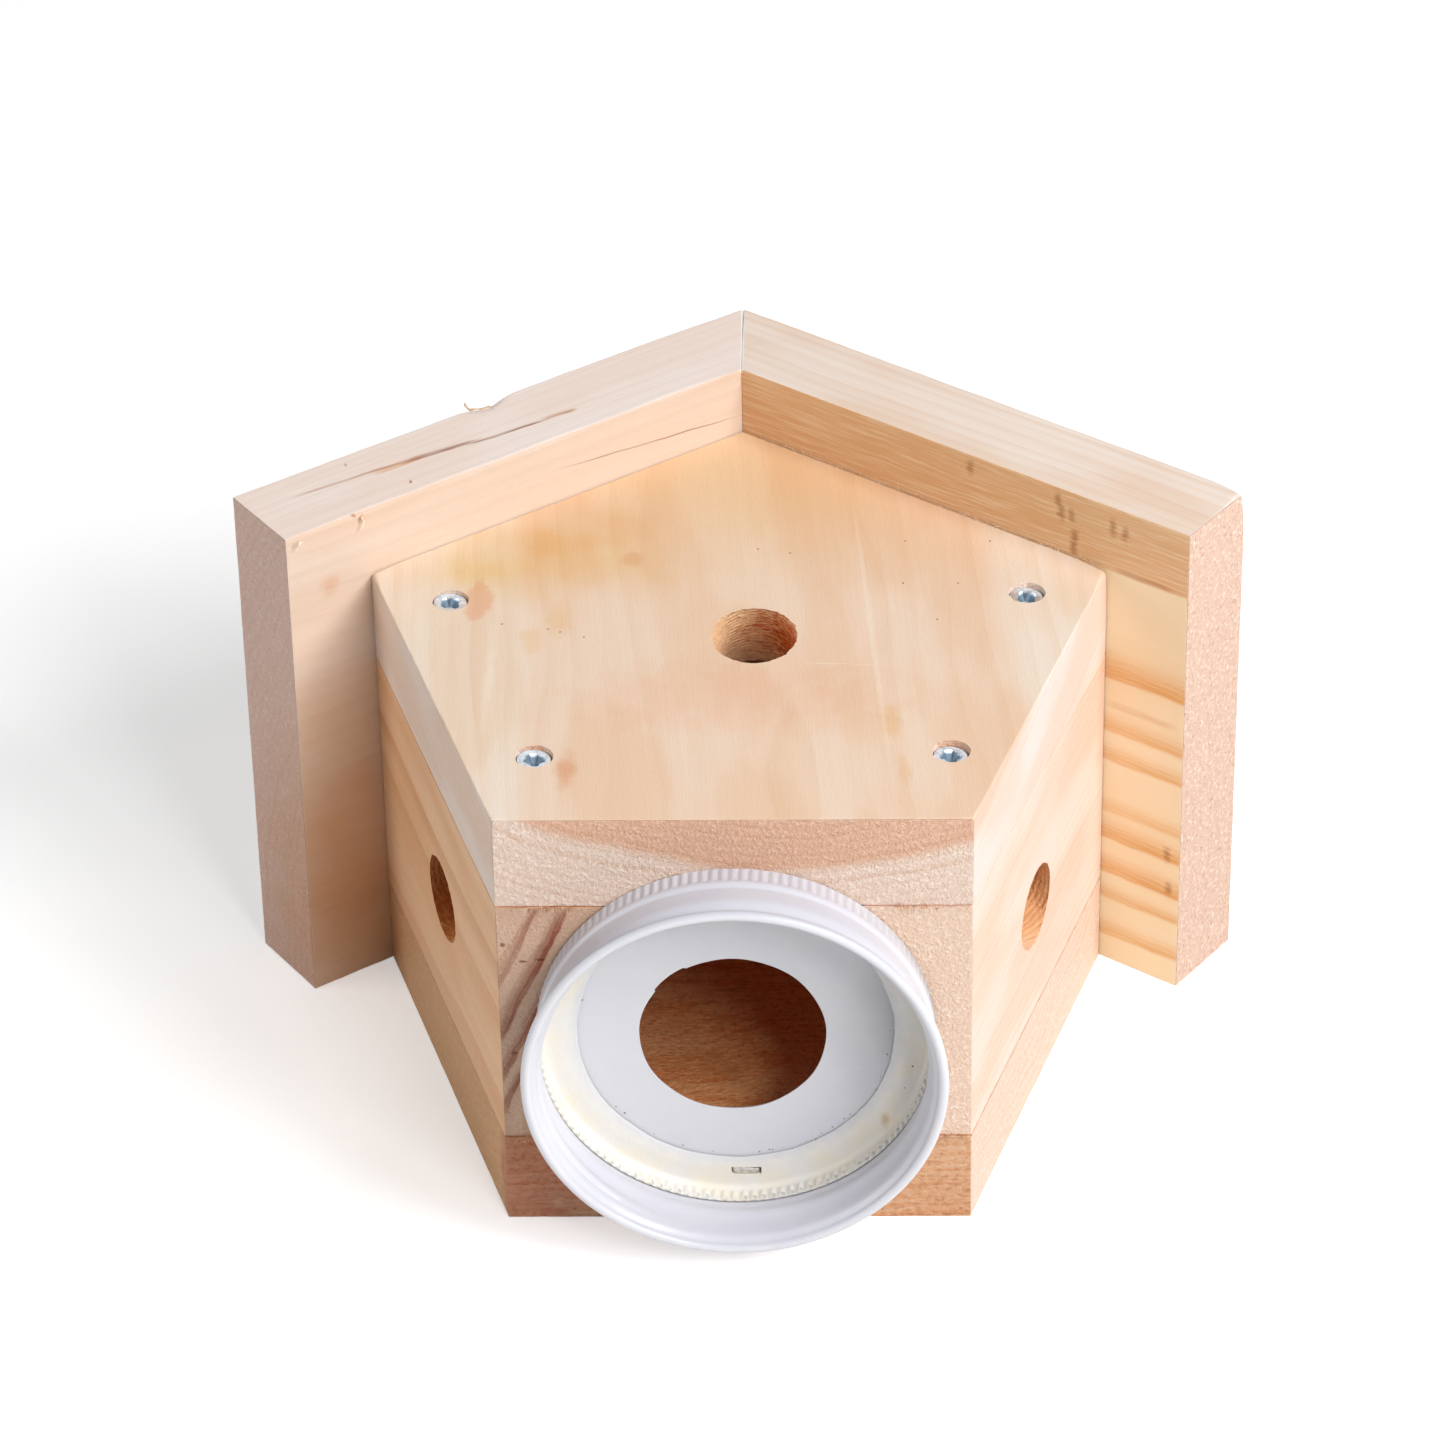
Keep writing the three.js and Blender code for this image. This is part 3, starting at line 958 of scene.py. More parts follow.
@dataclass(frozen=True)
class Crack(Cutter):
    """A drying check that opens in a board's front edge."""

    start: np.ndarray
    end: np.ndarray
    across: np.ndarray
    width: float
    depth: float
    seed: float
    lift: float = 0.4
    steps: int = 40

    def bodies(self) -> list[Solid]:
        """Gives a thin wedge with pointed ends."""
        shares = np.linspace(0, 1, self.steps)
        line = self.start + np.outer(shares, self.end - self.start)
        swell = np.sin(math.pi * shares) ** 0.8 * (0.25 + 0.75 * np.exp(-((shares - 0.5) / 0.2) ** 2))
        half = self.width / 2 * swell * (1 + 0.4 * rough(line, 3.0, self.seed)) + 0.01
        shift = 0.3 * rough(line, 9.0, self.seed + 4)
        deep = self.depth * (0.2 + 0.8 * swell)
        middle = line + shift[:, None] * self.across
        rings = []
        for spot, side, drop in zip(middle, half, deep):
            top, out = spot + (0.0, 0.0, self.lift), self.across * side
            rings.append(np.array([top + out, top - out, spot - (0.0, 0.0, drop)]))
        return [(np.concatenate(rings), ring_faces(self.steps, 3, False))]


# Metal


@dataclass(frozen=True)
class EnamelFinish:
    """White stoved enamel with a faint lavender cast, scuffs and a few dark specks, with painted shade on the
    faces that look up.
    """

    name: str = "lid_enamel"
    colour: str = "d6d6db"
    scuff: str = "b9b6bd"
    # painted shade on the faces that look up
    upward_painted_shade: str = "f2f2f6"
    cool: str = "cfcfd9"
    dirt: str = "4a4440"
    marks: tuple[Mark, ...] = ()

    def material(self) -> bpy.types.Material:
        """Builds the enamel."""
        graph = Graph(self.name)
        drift = graph.cloud(graph.place, 0.09, 3.0, 0.55)
        colour = graph.wash(shade(self.colour), self.cool, drift, (0.42, 0.68), 0.35)
        rub = graph.cloud(graph.vector("MULTIPLY", graph.place, (0.5, 3.0, 0.9)), 1.0, 4.0, 0.65)
        colour = graph.wash(colour, self.scuff, rub, (0.62, 0.8), 0.22)
        dots = graph.specks(0.22, 0.05, 0.035)
        colour = graph.tint(graph.math("MULTIPLY", dots, 0.75), colour, shade(self.dirt))
        # Faces that look up are darkened a little: painted shade
        upward = graph.vector("DOT_PRODUCT", graph.normal, (0, 0, 1))
        colour = graph.wash(colour, self.upward_painted_shade, upward, (0.2, 0.9), blend=Blend.STAIN)
        colour = graph.marked(colour, self.marks)
        peel = graph.cloud(graph.place, 0.9, 2.0, 0.5)
        roughness = graph.remap(rub, (0.3, 0.75), (0.27, 0.42), smooth=False)
        return graph.principled(colour, roughness, graph.bump(peel, 0.03), Specular_IOR_Level=0.5)


@dataclass(frozen=True)
class CompoundFinish:
    """Cream sealing compound, matt and slightly dirty, greyer at its thin inner edge, with a row of painted
    shade in the knurl dents along its outer edge.
    """

    name: str = "sealing_compound"
    colour: str = "e2dfda"
    thin: str = "d0d0d2"
    yellow: str = "e8dec8"
    # grey of the painted shade in the knurl dents
    dent: str = "a2a69c"
    dirt: str = "6b5f4a"
    marks: tuple[Mark, ...] = ()

    def material(self) -> bpy.types.Material:
        """Builds the compound."""
        graph = Graph(self.name)
        drift = graph.cloud(graph.place, 0.16, 3.0, 0.6)
        colour = graph.wash(shade(self.colour), self.yellow, drift, (0.4, 0.7), 0.6)
        # Painted shade in the dents that the knurls press into the compound's outer edge
        colour = graph.tint(self.painted_dent_shade(graph), colour, shade(self.dent))
        spread = graph.vector("MULTIPLY", graph.vector("SUBTRACT", graph.place, LID_CENTRE), (1, 0, 1))
        reach = graph.math("MULTIPLY_ADD", graph.cloud(graph.place, 0.4), 1.6, graph.vector("LENGTH", spread))
        faded = graph.remap(reach, (GASKET_INNER + 0.6, GASKET_INNER + 3.4), (0.9, 0.0))
        colour = graph.tint(faded, colour, shade(self.thin))
        dots = graph.specks(0.3, 0.06, 0.06)
        colour = graph.tint(graph.math("MULTIPLY", dots, 0.7), colour, shade(self.dirt))
        colour = graph.marked(colour, self.marks)
        grain = graph.cloud(graph.place, 1.6, 3.0, 0.6)
        lumps = graph.cloud(graph.place, 0.25, 2.0, 0.5)
        height = graph.math("MULTIPLY_ADD", grain, 0.06, graph.math("MULTIPLY", lumps, 0.25))
        return graph.principled(colour, 0.62, graph.bump(height, 1.0), Specular_IOR_Level=0.3)

    def painted_dent_shade(self, graph: Graph) -> Socket:
        """Gives the row of grey dots, painted shade in the dents where the knurls press through the
        compound's edge.
        """
        offset = graph.vector("SUBTRACT", graph.place, LID_CENTRE)
        across, down, up = (graph.vector("DOT_PRODUCT", offset, way)
                            for way in ((1, 0, 0), (0, -1, 0), (0, 0, 1)))
        angle = graph.math("ARCTAN2", across, up)
        wave = graph.math("SINE", graph.math("MULTIPLY", angle, float(KNURLS)))
        row = graph.math("MULTIPLY", graph.remap(down, (4.0, 4.35)), graph.remap(down, (5.25, 5.0)))
        patchy = graph.remap(graph.cloud(graph.place, 0.5, 2.0, 0.6), (0.35, 0.6), (0.2, 0.75))
        return graph.math("MULTIPLY", graph.math("MULTIPLY", graph.remap(wave, (-0.1, 0.8)), row), patchy)


@dataclass(frozen=True)
class ZincFinish:
    """Bright plated steel, a little scratched and dulled.

    Marks change its colour, and matt marks its gloss.
    """

    name: str
    colour: str
    dull: str
    smooth: float = 0.22
    worn: float = 0.42
    marks: tuple[Mark, ...] = ()
    matt: tuple[Mark, ...] = ()

    def material(self) -> bpy.types.Material:
        """Builds the plating."""
        graph = Graph(self.name)
        patch = graph.cloud(graph.place, 1.1, 4.0, 0.65)
        scratch = graph.cloud(graph.vector("MULTIPLY", graph.place, (9.0, 1.2, 2.0)), 1.0, 3.0, 0.6)
        colour = graph.wash(shade(self.colour), self.dull, patch, (0.42, 0.66), 0.7)
        colour = graph.marked(colour, self.marks)
        roughness = graph.remap(scratch, (0.3, 0.7), (self.smooth, self.worn), smooth=False)
        roughness = graph.marked(roughness, self.matt)
        return graph.principled(colour, roughness, graph.bump(scratch, 0.02), Metallic=1.0)


@dataclass
class JarLid:
    """One-piece jar lid: knurled crown, pressed thread and rolled rim, with a hole punched in it."""

    finish: EnamelFinish
    around: int = 630
    sheet: float = 0.3
    crown: float = 36.6
    corner: float = 0.9
    knurl_depth: float = 0.42
    knurl_end: float = 4.3
    neck: float = 36.1
    neck_start: float = 5.4
    neck_end: float = 14.2
    thread_start: float = 8.0
    thread_pitch: float = 5.08
    thread_turns: float = 1.2
    thread_fade: float = 0.08
    thread_depth: float = 0.72
    thread_width: float = 1.6
    bead_radius: float = 0.95
    bead_centre: float = 37.75
    height: float = 17.57
    hole: float = 17.1
    hole_shift: tuple[float, float] = (-0.6, -0.9)
    notch: tuple[float, float] = (math.radians(-54.5), math.radians(-29.5))
    notch_depth: float = 0.35

    def __post_init__(self) -> None:
        """Sets out the angles, counted from +Z towards +X."""
        self.angles = np.linspace(0, 2 * math.pi, self.around, endpoint=False)

    def ring(self, radius: np.ndarray | float, depth: float) -> np.ndarray:
        """Points about the lid's axis at a radius and a depth below the crown."""
        size = np.broadcast_to(radius, self.angles.shape)
        across = LID_CENTRE[0] + size * np.sin(self.angles)
        height = LID_CENTRE[2] + size * np.cos(self.angles)
        return np.column_stack([across, np.full(self.around, LID_CENTRE[1] - depth), height])

    def flutes(self, depth: float) -> np.ndarray:
        """How far the knurls press in at a depth."""
        wave = (1 - np.cos(KNURLS * self.angles)) / 2
        here = np.array(depth)
        share = ease(0.25, 0.8, here) * (1 - ease(self.knurl_end - 0.7, self.knurl_end, here))
        return self.knurl_depth * wave ** 1.5 * share

    def thread(self, depth: float) -> np.ndarray:
        """How far the pressed thread pulls the skirt in at a depth."""
        here = (np.arctan2(np.cos(self.angles), np.sin(self.angles)) + math.pi) / (2 * math.pi)
        dent = np.zeros(self.around)
        for turn in (here, here + 1):
            fade = ease(0, self.thread_fade, turn)
            fade = fade * (1 - ease(self.thread_turns - self.thread_fade, self.thread_turns, turn))
            off = (depth - self.thread_start - self.thread_pitch * turn) / self.thread_width
            dent = np.maximum(dent, self.thread_depth * fade * np.exp(-off * off))
        return dent * (1 - ease(self.neck_end - 0.6, self.neck_end + 0.6, np.array(depth)))

    def skin(self, inset: float) -> Rings:
        """One side of the sheet from the crown's flat to the top of the rolled rim."""
        rings = [self.ring(size - inset, inset) for size in (28.0, 33.5, self.crown - self.corner)]
        for angle in np.linspace(-90, 0, 6)[1:]:
            turn = math.radians(angle)
            depth = self.corner + (self.corner - inset) * math.sin(turn)
            size = self.crown - self.corner + (self.corner - inset) * math.cos(turn)
            rings.append(self.ring(size - self.flutes(depth), depth))
        for depth in np.arange(1.2, self.knurl_end + 0.2, 0.31):
            rings.append(self.ring(self.crown - inset - self.flutes(depth), float(depth)))
        for depth in np.linspace(self.neck_start - 0.6, self.neck_start + 0.6, 6):
            step = (self.crown - self.neck) * float(ease(self.neck_start - 0.6, self.neck_start + 0.6, depth))
            rings.append(self.ring(self.crown - step - inset, float(depth)))
        for depth in np.arange(self.neck_start + 0.9, self.neck_end, 0.33):
            rings.append(self.ring(self.neck - inset - self.thread(depth), float(depth)))
        return rings

    def hole_ring(self, depth: float, grow: float) -> np.ndarray:
        """The punched hole's rim, with a step at each end of the punch's second bite."""
        start, end = (2 * math.pi + angle for angle in self.notch)
        bitten = (self.angles > start) & (self.angles < end)
        size = self.hole + grow + np.where(bitten, self.notch_depth, 0.0)
        size = size + 0.05 * np.sin(9 * self.angles + 1.3)
        ring = self.ring(size, depth)
        ring[:, 0] += self.hole_shift[0]
        ring[:, 2] += self.hole_shift[1]
        return ring

    def rim(self) -> Rings:
        """The flare, the rolled bead and the way back inside."""
        flare = [(36.12, 14.4), (36.2, 14.8), (36.4, 15.15), (36.75, 15.45), (37.2, 15.62)]
        back = [(36.62, 16.2), (36.25, 15.75), (36.0, 15.3), (35.86, 14.85), (35.82, 14.4)]
        rings = [self.ring(size, depth) for size, depth in flare]
        low = self.height - self.bead_radius
        for angle in np.linspace(-90, 180, 19):
            turn = math.radians(angle)
            rings.append(self.ring(self.bead_centre + self.bead_radius * math.cos(turn),
                                   low + self.bead_radius * math.sin(turn)))
        return rings + [self.ring(size, depth) for size, depth in back]

    def build(self) -> None:
        """Makes the shell and hands it in."""
        sheet = self.sheet
        outer = [self.hole_ring(0.04, 0.0), self.hole_ring(0.0, 0.05)] + self.skin(0.0)
        inner = [self.hole_ring(sheet - 0.04, 0.0), self.hole_ring(sheet, 0.05)] + self.skin(sheet)
        piece = from_rings("lid.shell", inner + self.rim()[::-1] + outer[::-1], closed=True)
        for hand in (-1, 1):
            cut(piece, joined("cutter", LegSlot(staple_place(hand)).bodies()))
        hand_in(piece, "lid_enamel", self.finish.material(), "lid_shell")


def staple_place(hand: int) -> np.ndarray:
    """Middle of a staple's crown, on the side of the lid's inner face.

    Args:
        hand: -1 for the lower staple and 1 for the upper.

    Returns:
        The point.
    """
    return np.array(LID_CENTRE) + (1.5, -0.5, hand * 31.7)


@dataclass
class Gasket:
    """The ring of sealing compound that was run into the lid."""

    lid: JarLid
    finish: CompoundFinish
    inner: float = GASKET_INNER
    thickness: float = 0.9
    skin: float = 0.45
    top: float = 5.2
    fillet: float = 1.0
    gap: float = 0.2
    slot_low: Point = (2.76, 2.5, 0.78)
    slot_high: Point = (2.76, 0.6, 0.78)

    def build(self) -> None:
        """Makes the ring and hands it in."""
        lid = self.lid
        low = lid.sheet + self.gap
        wall = lid.crown - lid.sheet - self.gap
        angles = lid.angles
        edge_points = np.column_stack([np.sin(angles), np.cos(angles), np.zeros(len(angles))]) * self.inner
        waver = 0.22 * rough(edge_points, 6.0, 21.0) + 0.1 * rough(edge_points, 1.5, 22.0)
        profile = [(self.inner + 0.25, low), (wall - 0.4, low), (wall - 0.12, low + 0.12), (wall, low + 0.4),
                   (wall, self.top - 0.15), (wall - 0.15, self.top)]
        turns = np.radians(np.linspace(0, -90, 6))
        middle = (wall - self.skin - self.fillet, low + self.thickness + self.fillet)
        bore = wall - self.skin
        climb = [(bore + 0.12, self.top - 0.05), (bore, self.top - 0.3), (bore, self.top - 0.9),
                 (bore, self.top - 1.6), (bore, 3.2)]
        climb += [(middle[0] + self.fillet * math.cos(turn), middle[1] + self.fillet * math.sin(turn))
                  for turn in turns]
        face = low + self.thickness
        flat = [(size, face) for size in np.arange(33.6, self.inner + 2.6, -0.55)]
        lip = [(self.inner + out, face - drop) for out, drop in
               ((2.2, 0.03), (1.6, 0.12), (1.1, 0.24), (0.6, 0.4), (0.25, 0.55), (0.0, 0.72))]
        rings = []
        for size, depth in profile + climb + flat + lip:
            near_edge = max(0.0, 1 - (size - self.inner) / 1.6)
            scallop = np.zeros(len(angles))
            if size < wall - 0.05 and depth > 2.6:
                scallop = lid.flutes(min(depth, 3.2)) * 0.9
            rings.append(lid.ring(np.minimum(size + waver * near_edge - scallop, wall), depth))
        piece = from_rings("lid.gasket", rings[::-1], closed=True)
        for hand in (-1, 1):
            place = staple_place(hand)
            cut(piece, joined("cutter", [block(place - self.slot_low, place + self.slot_high)]))
        hand_in(piece, "sealing_compound", self.finish.material(), "lid_gasket")


@dataclass
class Staple:
    """A staple of flat wire, its crown flush with the compound."""

    finish: bpy.types.Material
    crown: float = 5.4
    width: float = 1.5
    thickness: float = 0.9
    leg: float = 15.0
    bend: float = 0.62
    pinch: float = 0.4
    leg_tip: float = 0.35
    turn: float = math.radians(3)

    def path(self) -> list[tuple[np.ndarray, np.ndarray]]:
        """Points along the wire's middle, each with the direction out of the bend."""
        half = self.crown / 2 - self.thickness / 2
        drop = -self.thickness / 2
        points: list[tuple[np.ndarray, np.ndarray]] = []
        for height in (self.leg, self.leg * 0.6, self.leg * 0.3, self.bend + drop + 0.3):
            points.append((np.array([-half, height]), np.array([-1.0, 0.0])))
        for angle in np.radians(np.linspace(180, 270, 7)):
            out = np.array([math.cos(angle), math.sin(angle)])
            points.append((np.array([-half + self.bend, drop + self.bend]) + out * self.bend, out))
        mirrored = [(where * (-1, 1), out * (-1, 1)) for where, out in reversed(points)]
        middle = [(np.array([at, drop]), np.array([0.0, -1.0]))
                  for at in np.linspace(-half + 1.0, half - 1.0, 5)]
        return points + middle + mirrored

    def build(self, name: str, node: str, hand: int) -> None:
        """Makes one staple and hands it in."""
        place = staple_place(hand)
        section = []
        across, through, soft = self.width / 2, self.thickness / 2, 0.16
        for corner_x, corner_y, start in ((1, 1, 0), (-1, 1, 90), (-1, -1, 180), (1, -1, 270)):
            for angle in np.radians([start, start + 45, start + 90]):
                section.append((corner_x * (across - soft) + soft * math.cos(angle),
                                corner_y * (through - soft) + soft * math.sin(angle)))
        rings = []
        path = self.path()
        for number, (where, out) in enumerate(path):
            taper = self.leg_tip if number in (0, len(path) - 1) else 1.0
            narrow = 1 - self.pinch * (2 * where[0] / self.crown) ** 2
            ring = []
            for side, thick in section:
                flat = where + out * thick * taper
                ring.append((flat[0], flat[1], side * taper * narrow))
            rings.append(np.array(ring))
        cos, sin = math.cos(self.turn), math.sin(self.turn)
        spin = np.array([[cos, 0, sin], [0, 1, 0], [-sin, 0, cos]])
        rings = [ring @ spin.T + place for ring in rings]
        piece = from_rings(name, rings)
        hand_in(piece, "staple_wire", self.finish, node)


@dataclass
class Screw:
    """A countersunk wood screw with a cross recess."""

    finish: bpy.types.Material
    around: int = 48

    def radius(self, at: np.ndarray, angle: np.ndarray) -> np.ndarray:
        """Radius of the body at a depth under the head and an angle."""
        head, shank, root = SCREW.head / 2, SCREW.shank / 2, SCREW.root / 2
        climb = np.clip((SCREW.head_height - at) / (SCREW.head_height - SCREW.rim), 0, 1)
        cone = shank + (head - shank) * climb ** 1.3
        tip = np.clip((SCREW.length - at) / SCREW.tip, 0.02, 1)
        turns = at / SCREW.lead - angle / (2 * math.pi)
        saw = np.abs((turns % 1) - 0.5) * 2
        crest = np.clip(1 - saw * 2.2, 0, 1)
        thread = root + (shank - root) * crest
        share = ease(SCREW.bare - 1.0, SCREW.bare, at)
        body = shank * (1 - share) + thread * share
        return np.where(at < SCREW.head_height, cone, body * tip)

    def build(self, name: str, node: str, spot: np.ndarray, direction: np.ndarray, turn: float) -> None:
        """Makes one screw and hands it in.

        Args:
            name: Name of the piece.
            node: The CAD node that it stands for.
            spot: Middle of the head's top.
            direction: Way in which the screw points.
            turn: How far it is turned about its axis.
        """
        rings: Rings = []
        top = ((0.16, 0.75), (0.1, 0.5), (0.02, 0.3), (0.0, 0.18), (0.05, 0.06), (0.16, 0.0))
        down = [0.3, 0.45, 0.7, 1.0, 1.4, 1.8, 2.15, 2.3, 3.5, 6.0, 8.0]
        down += list(np.arange(8.3, SCREW.length - 0.1, 0.3)) + [SCREW.length]
        for station, less in top:
            rings += axis_rings(spot, direction, [station], self.around, steady(SCREW.head / 2 - less))
        rings += axis_rings(spot, direction, down, self.around, self.radius)
        piece = from_rings(name, rings)
        cut(piece, self.cross(spot, direction, turn))
        hand_in(piece, "screw_zinc", self.finish, node)

    def cross(self, spot: np.ndarray, direction: np.ndarray, turn: float) -> bpy.types.Object:
        """The recess for a cross driver: four tapered slots about a pit."""
        levels = ((-0.6, 2.35, 0.8), (0.0, 2.25, 0.76), (0.9, 1.6, 0.56), (1.5, 1.0, 0.38), (1.75, 0.5, 0.26))
        tilt = Vector((0, 0, 1)).rotation_difference(Vector(direction))
        side = np.array(tilt @ Vector((math.cos(turn), math.sin(turn), 0)))
        other = np.array(tilt @ Vector((-math.sin(turn), math.cos(turn), 0)))
        rings = []
        for depth, reach, half in levels:
            soft = half * 1.3
            arm = [(reach * 0.93, -half), (reach, 0.0), (reach * 0.93, half), (soft, soft)]
            ring = []
            for quarter in range(4):
                cos, sin = math.cos(quarter * math.pi / 2), math.sin(quarter * math.pi / 2)
                for across, up in arm:
                    ring.append(spot + direction * depth + side * (across * cos - up * sin)
                                + other * (across * sin + up * cos))
            rings.append(np.array(ring))
        return joined("cutter", [(np.concatenate(rings), ring_faces(len(rings), len(rings[0]), False))])


# Splinters and fibres


@dataclass(frozen=True)
class FibreFinish:
    """Torn wood fibres, pale with darker patches."""

    name: str
    pale: str = "f7e2cb"
    dark: str = "d8a77c"

    def material(self) -> bpy.types.Material:
        """Builds the fibre colour."""
        graph = Graph(self.name)
        patch = graph.cloud(graph.place, 0.7, 3.0, 0.6)
        colour = graph.wash(shade(self.pale), self.dark, patch, (0.4, 0.65))
        fine = graph.cloud(graph.place, 9.0, 2.0, 0.6)
        return graph.principled(colour, 0.7, graph.bump(fine, 0.05), Specular_IOR_Level=0.3)


@dataclass(frozen=True)
class Sliver:
    """One splinter: a thin tapered ribbon that curls off the wood."""

    root: Point
    belly: Point
    end: Point
    face: Point
    width: float = 1.0
    thickness: float = 0.22

    def body(self) -> Solid:
        """Gives the ribbon's points and faces."""
        root, belly, end = (np.array(point) for point in (self.root, self.belly, self.end))
        rings = []
        for share in np.linspace(0, 1, 16):
            middle = root * (1 - share) ** 2 + belly * 2 * share * (1 - share) + end * share ** 2
            tangent = unit((belly - root) * (1 - share) + (end - belly) * share)
            side = unit(np.cross(self.face, tangent))
            out = np.cross(tangent, side)
            taper = (1 - 0.92 * share ** 1.6) * (0.75 + 0.25 * math.sin(7 * share + self.width))
            turns = np.linspace(0, 2 * math.pi, 8, endpoint=False)
            rings.append(middle + np.outer(np.cos(turns) * self.width / 2 * taper, side)
                         + np.outer(np.sin(turns) * self.thickness / 2 * taper, out))
        return np.concatenate(rings), ring_faces(len(rings), 8, False)


@dataclass(frozen=True)
class Fuzz:
    """Short torn fibres along a line."""

    line: tuple[Point, ...]
    outward: Point
    count: int
    length: float = 0.8
    thickness: float = 0.09
    spread: float = 0.9
    band: float = 0.3
    seed: int = 1

    def bodies(self) -> list[Solid]:
        """Gives each fibre's points and faces."""
        dice = np.random.default_rng(self.seed)
        corners = np.array(self.line)
        spans = np.linalg.norm(np.diff(corners, axis=0), axis=1)
        marks = np.concatenate([[0], np.cumsum(spans)])
        bodies = []
        for place in dice.uniform(0, marks[-1], self.count):
            base = np.array([np.interp(place, marks, corners[:, axis]) for axis in range(3)])
            base = base + dice.normal(0, self.band, 3)
            way = unit(np.array(self.outward) + dice.normal(0, self.spread, 3))
            bow = dice.normal(0, 0.35, 3)
            length = self.length * dice.uniform(0.35, 1.3)
            side = unit(np.cross(way, (0.3, 0.5, 0.8)))
            other = np.cross(way, side)
            rings = []
            for share in (0.0, 0.35, 0.7, 1.0):
                middle = base + way * length * share + bow * length * share * share
                size = self.thickness / 2 * (1 - 0.75 * share)
                rings.append(np.array([middle + side * size * math.cos(turn) + other * size * math.sin(turn)
                                       for turn in (0.0, 2.09, 4.19)]))
            bodies.append((np.concatenate(rings), ring_faces(4, 3, False)))
        return bodies


# The house


def stain(x: float, y: float, width: float, height: float, colour: str, strength: float = 1.0,
          turn: float = 0.0) -> Mark:
    """A soft stain on the front panel's face."""
    return Mark((x, y, PLAN.front_face), (width, height, 4.0), colour, strength, turn=turn)


def speck(x: float, y: float) -> Mark:
    """A dark dot on the front panel's face."""
    return Mark((x, y, PLAN.front_face), (0.3, 0.3, 2.0), "6b4326", 0.8, 0.6, 0.3, 0.5, Blend.COVER)


FACE_OUT = (0.0, 0.0, 1.0)
FACE_DOWN = (0.0, -1.0, 0.0)
LEFT_OUT = (-0.951, -0.309, 0.0)
LEFT_IN = (0.951, 0.309, 0.0)
RIGHT_OUT = (0.951, -0.309, 0.0)
RIGHT_IN = (-0.951, 0.309, 0.0)
LEFT_ROOF_IN = (0.588, -0.809, 0.0)
RIGHT_ROOF_IN = (-0.588, -0.809, 0.0)
# Painted shade and warm bounce light on the faces inside the chamber, seen through the entry holes
CHAMBER_PAINTED_SHADE = "fc9c5a"


def band(height: float, width: float, colour: str, strength: float, reach: float = 60.0) -> Stripe:
    """A dark ring along the right roof board's inner face, sharp below and soft above."""
    return Stripe((76.5, 18.0, height), (0, 0, 1), RIGHT_ROOF_IN, width, colour, strength, reach, 1.1, 0.5)


def late_ring(x: float, z: float, width: float, strength: float, reach: float) -> Stripe:
    """A dark ring on the left side board's lower end, sharp on its right side."""
    return Stripe((x, -59.4, z), (-0.91, 0, 0.41), FACE_DOWN, width, "aa6442", strength, reach, 0.5, 1.0)


def smudge(x: float, y: float, z: float) -> Mark:
    """A short column of dark dashes that a roller left on the right roof board."""
    return Mark((x, y, z), (1.4, 1.2, 2.6), "ae8860", 0.6, 1.0, 0.9, 1.0, ragged_shape=(0.35, 0.35, 1.9))


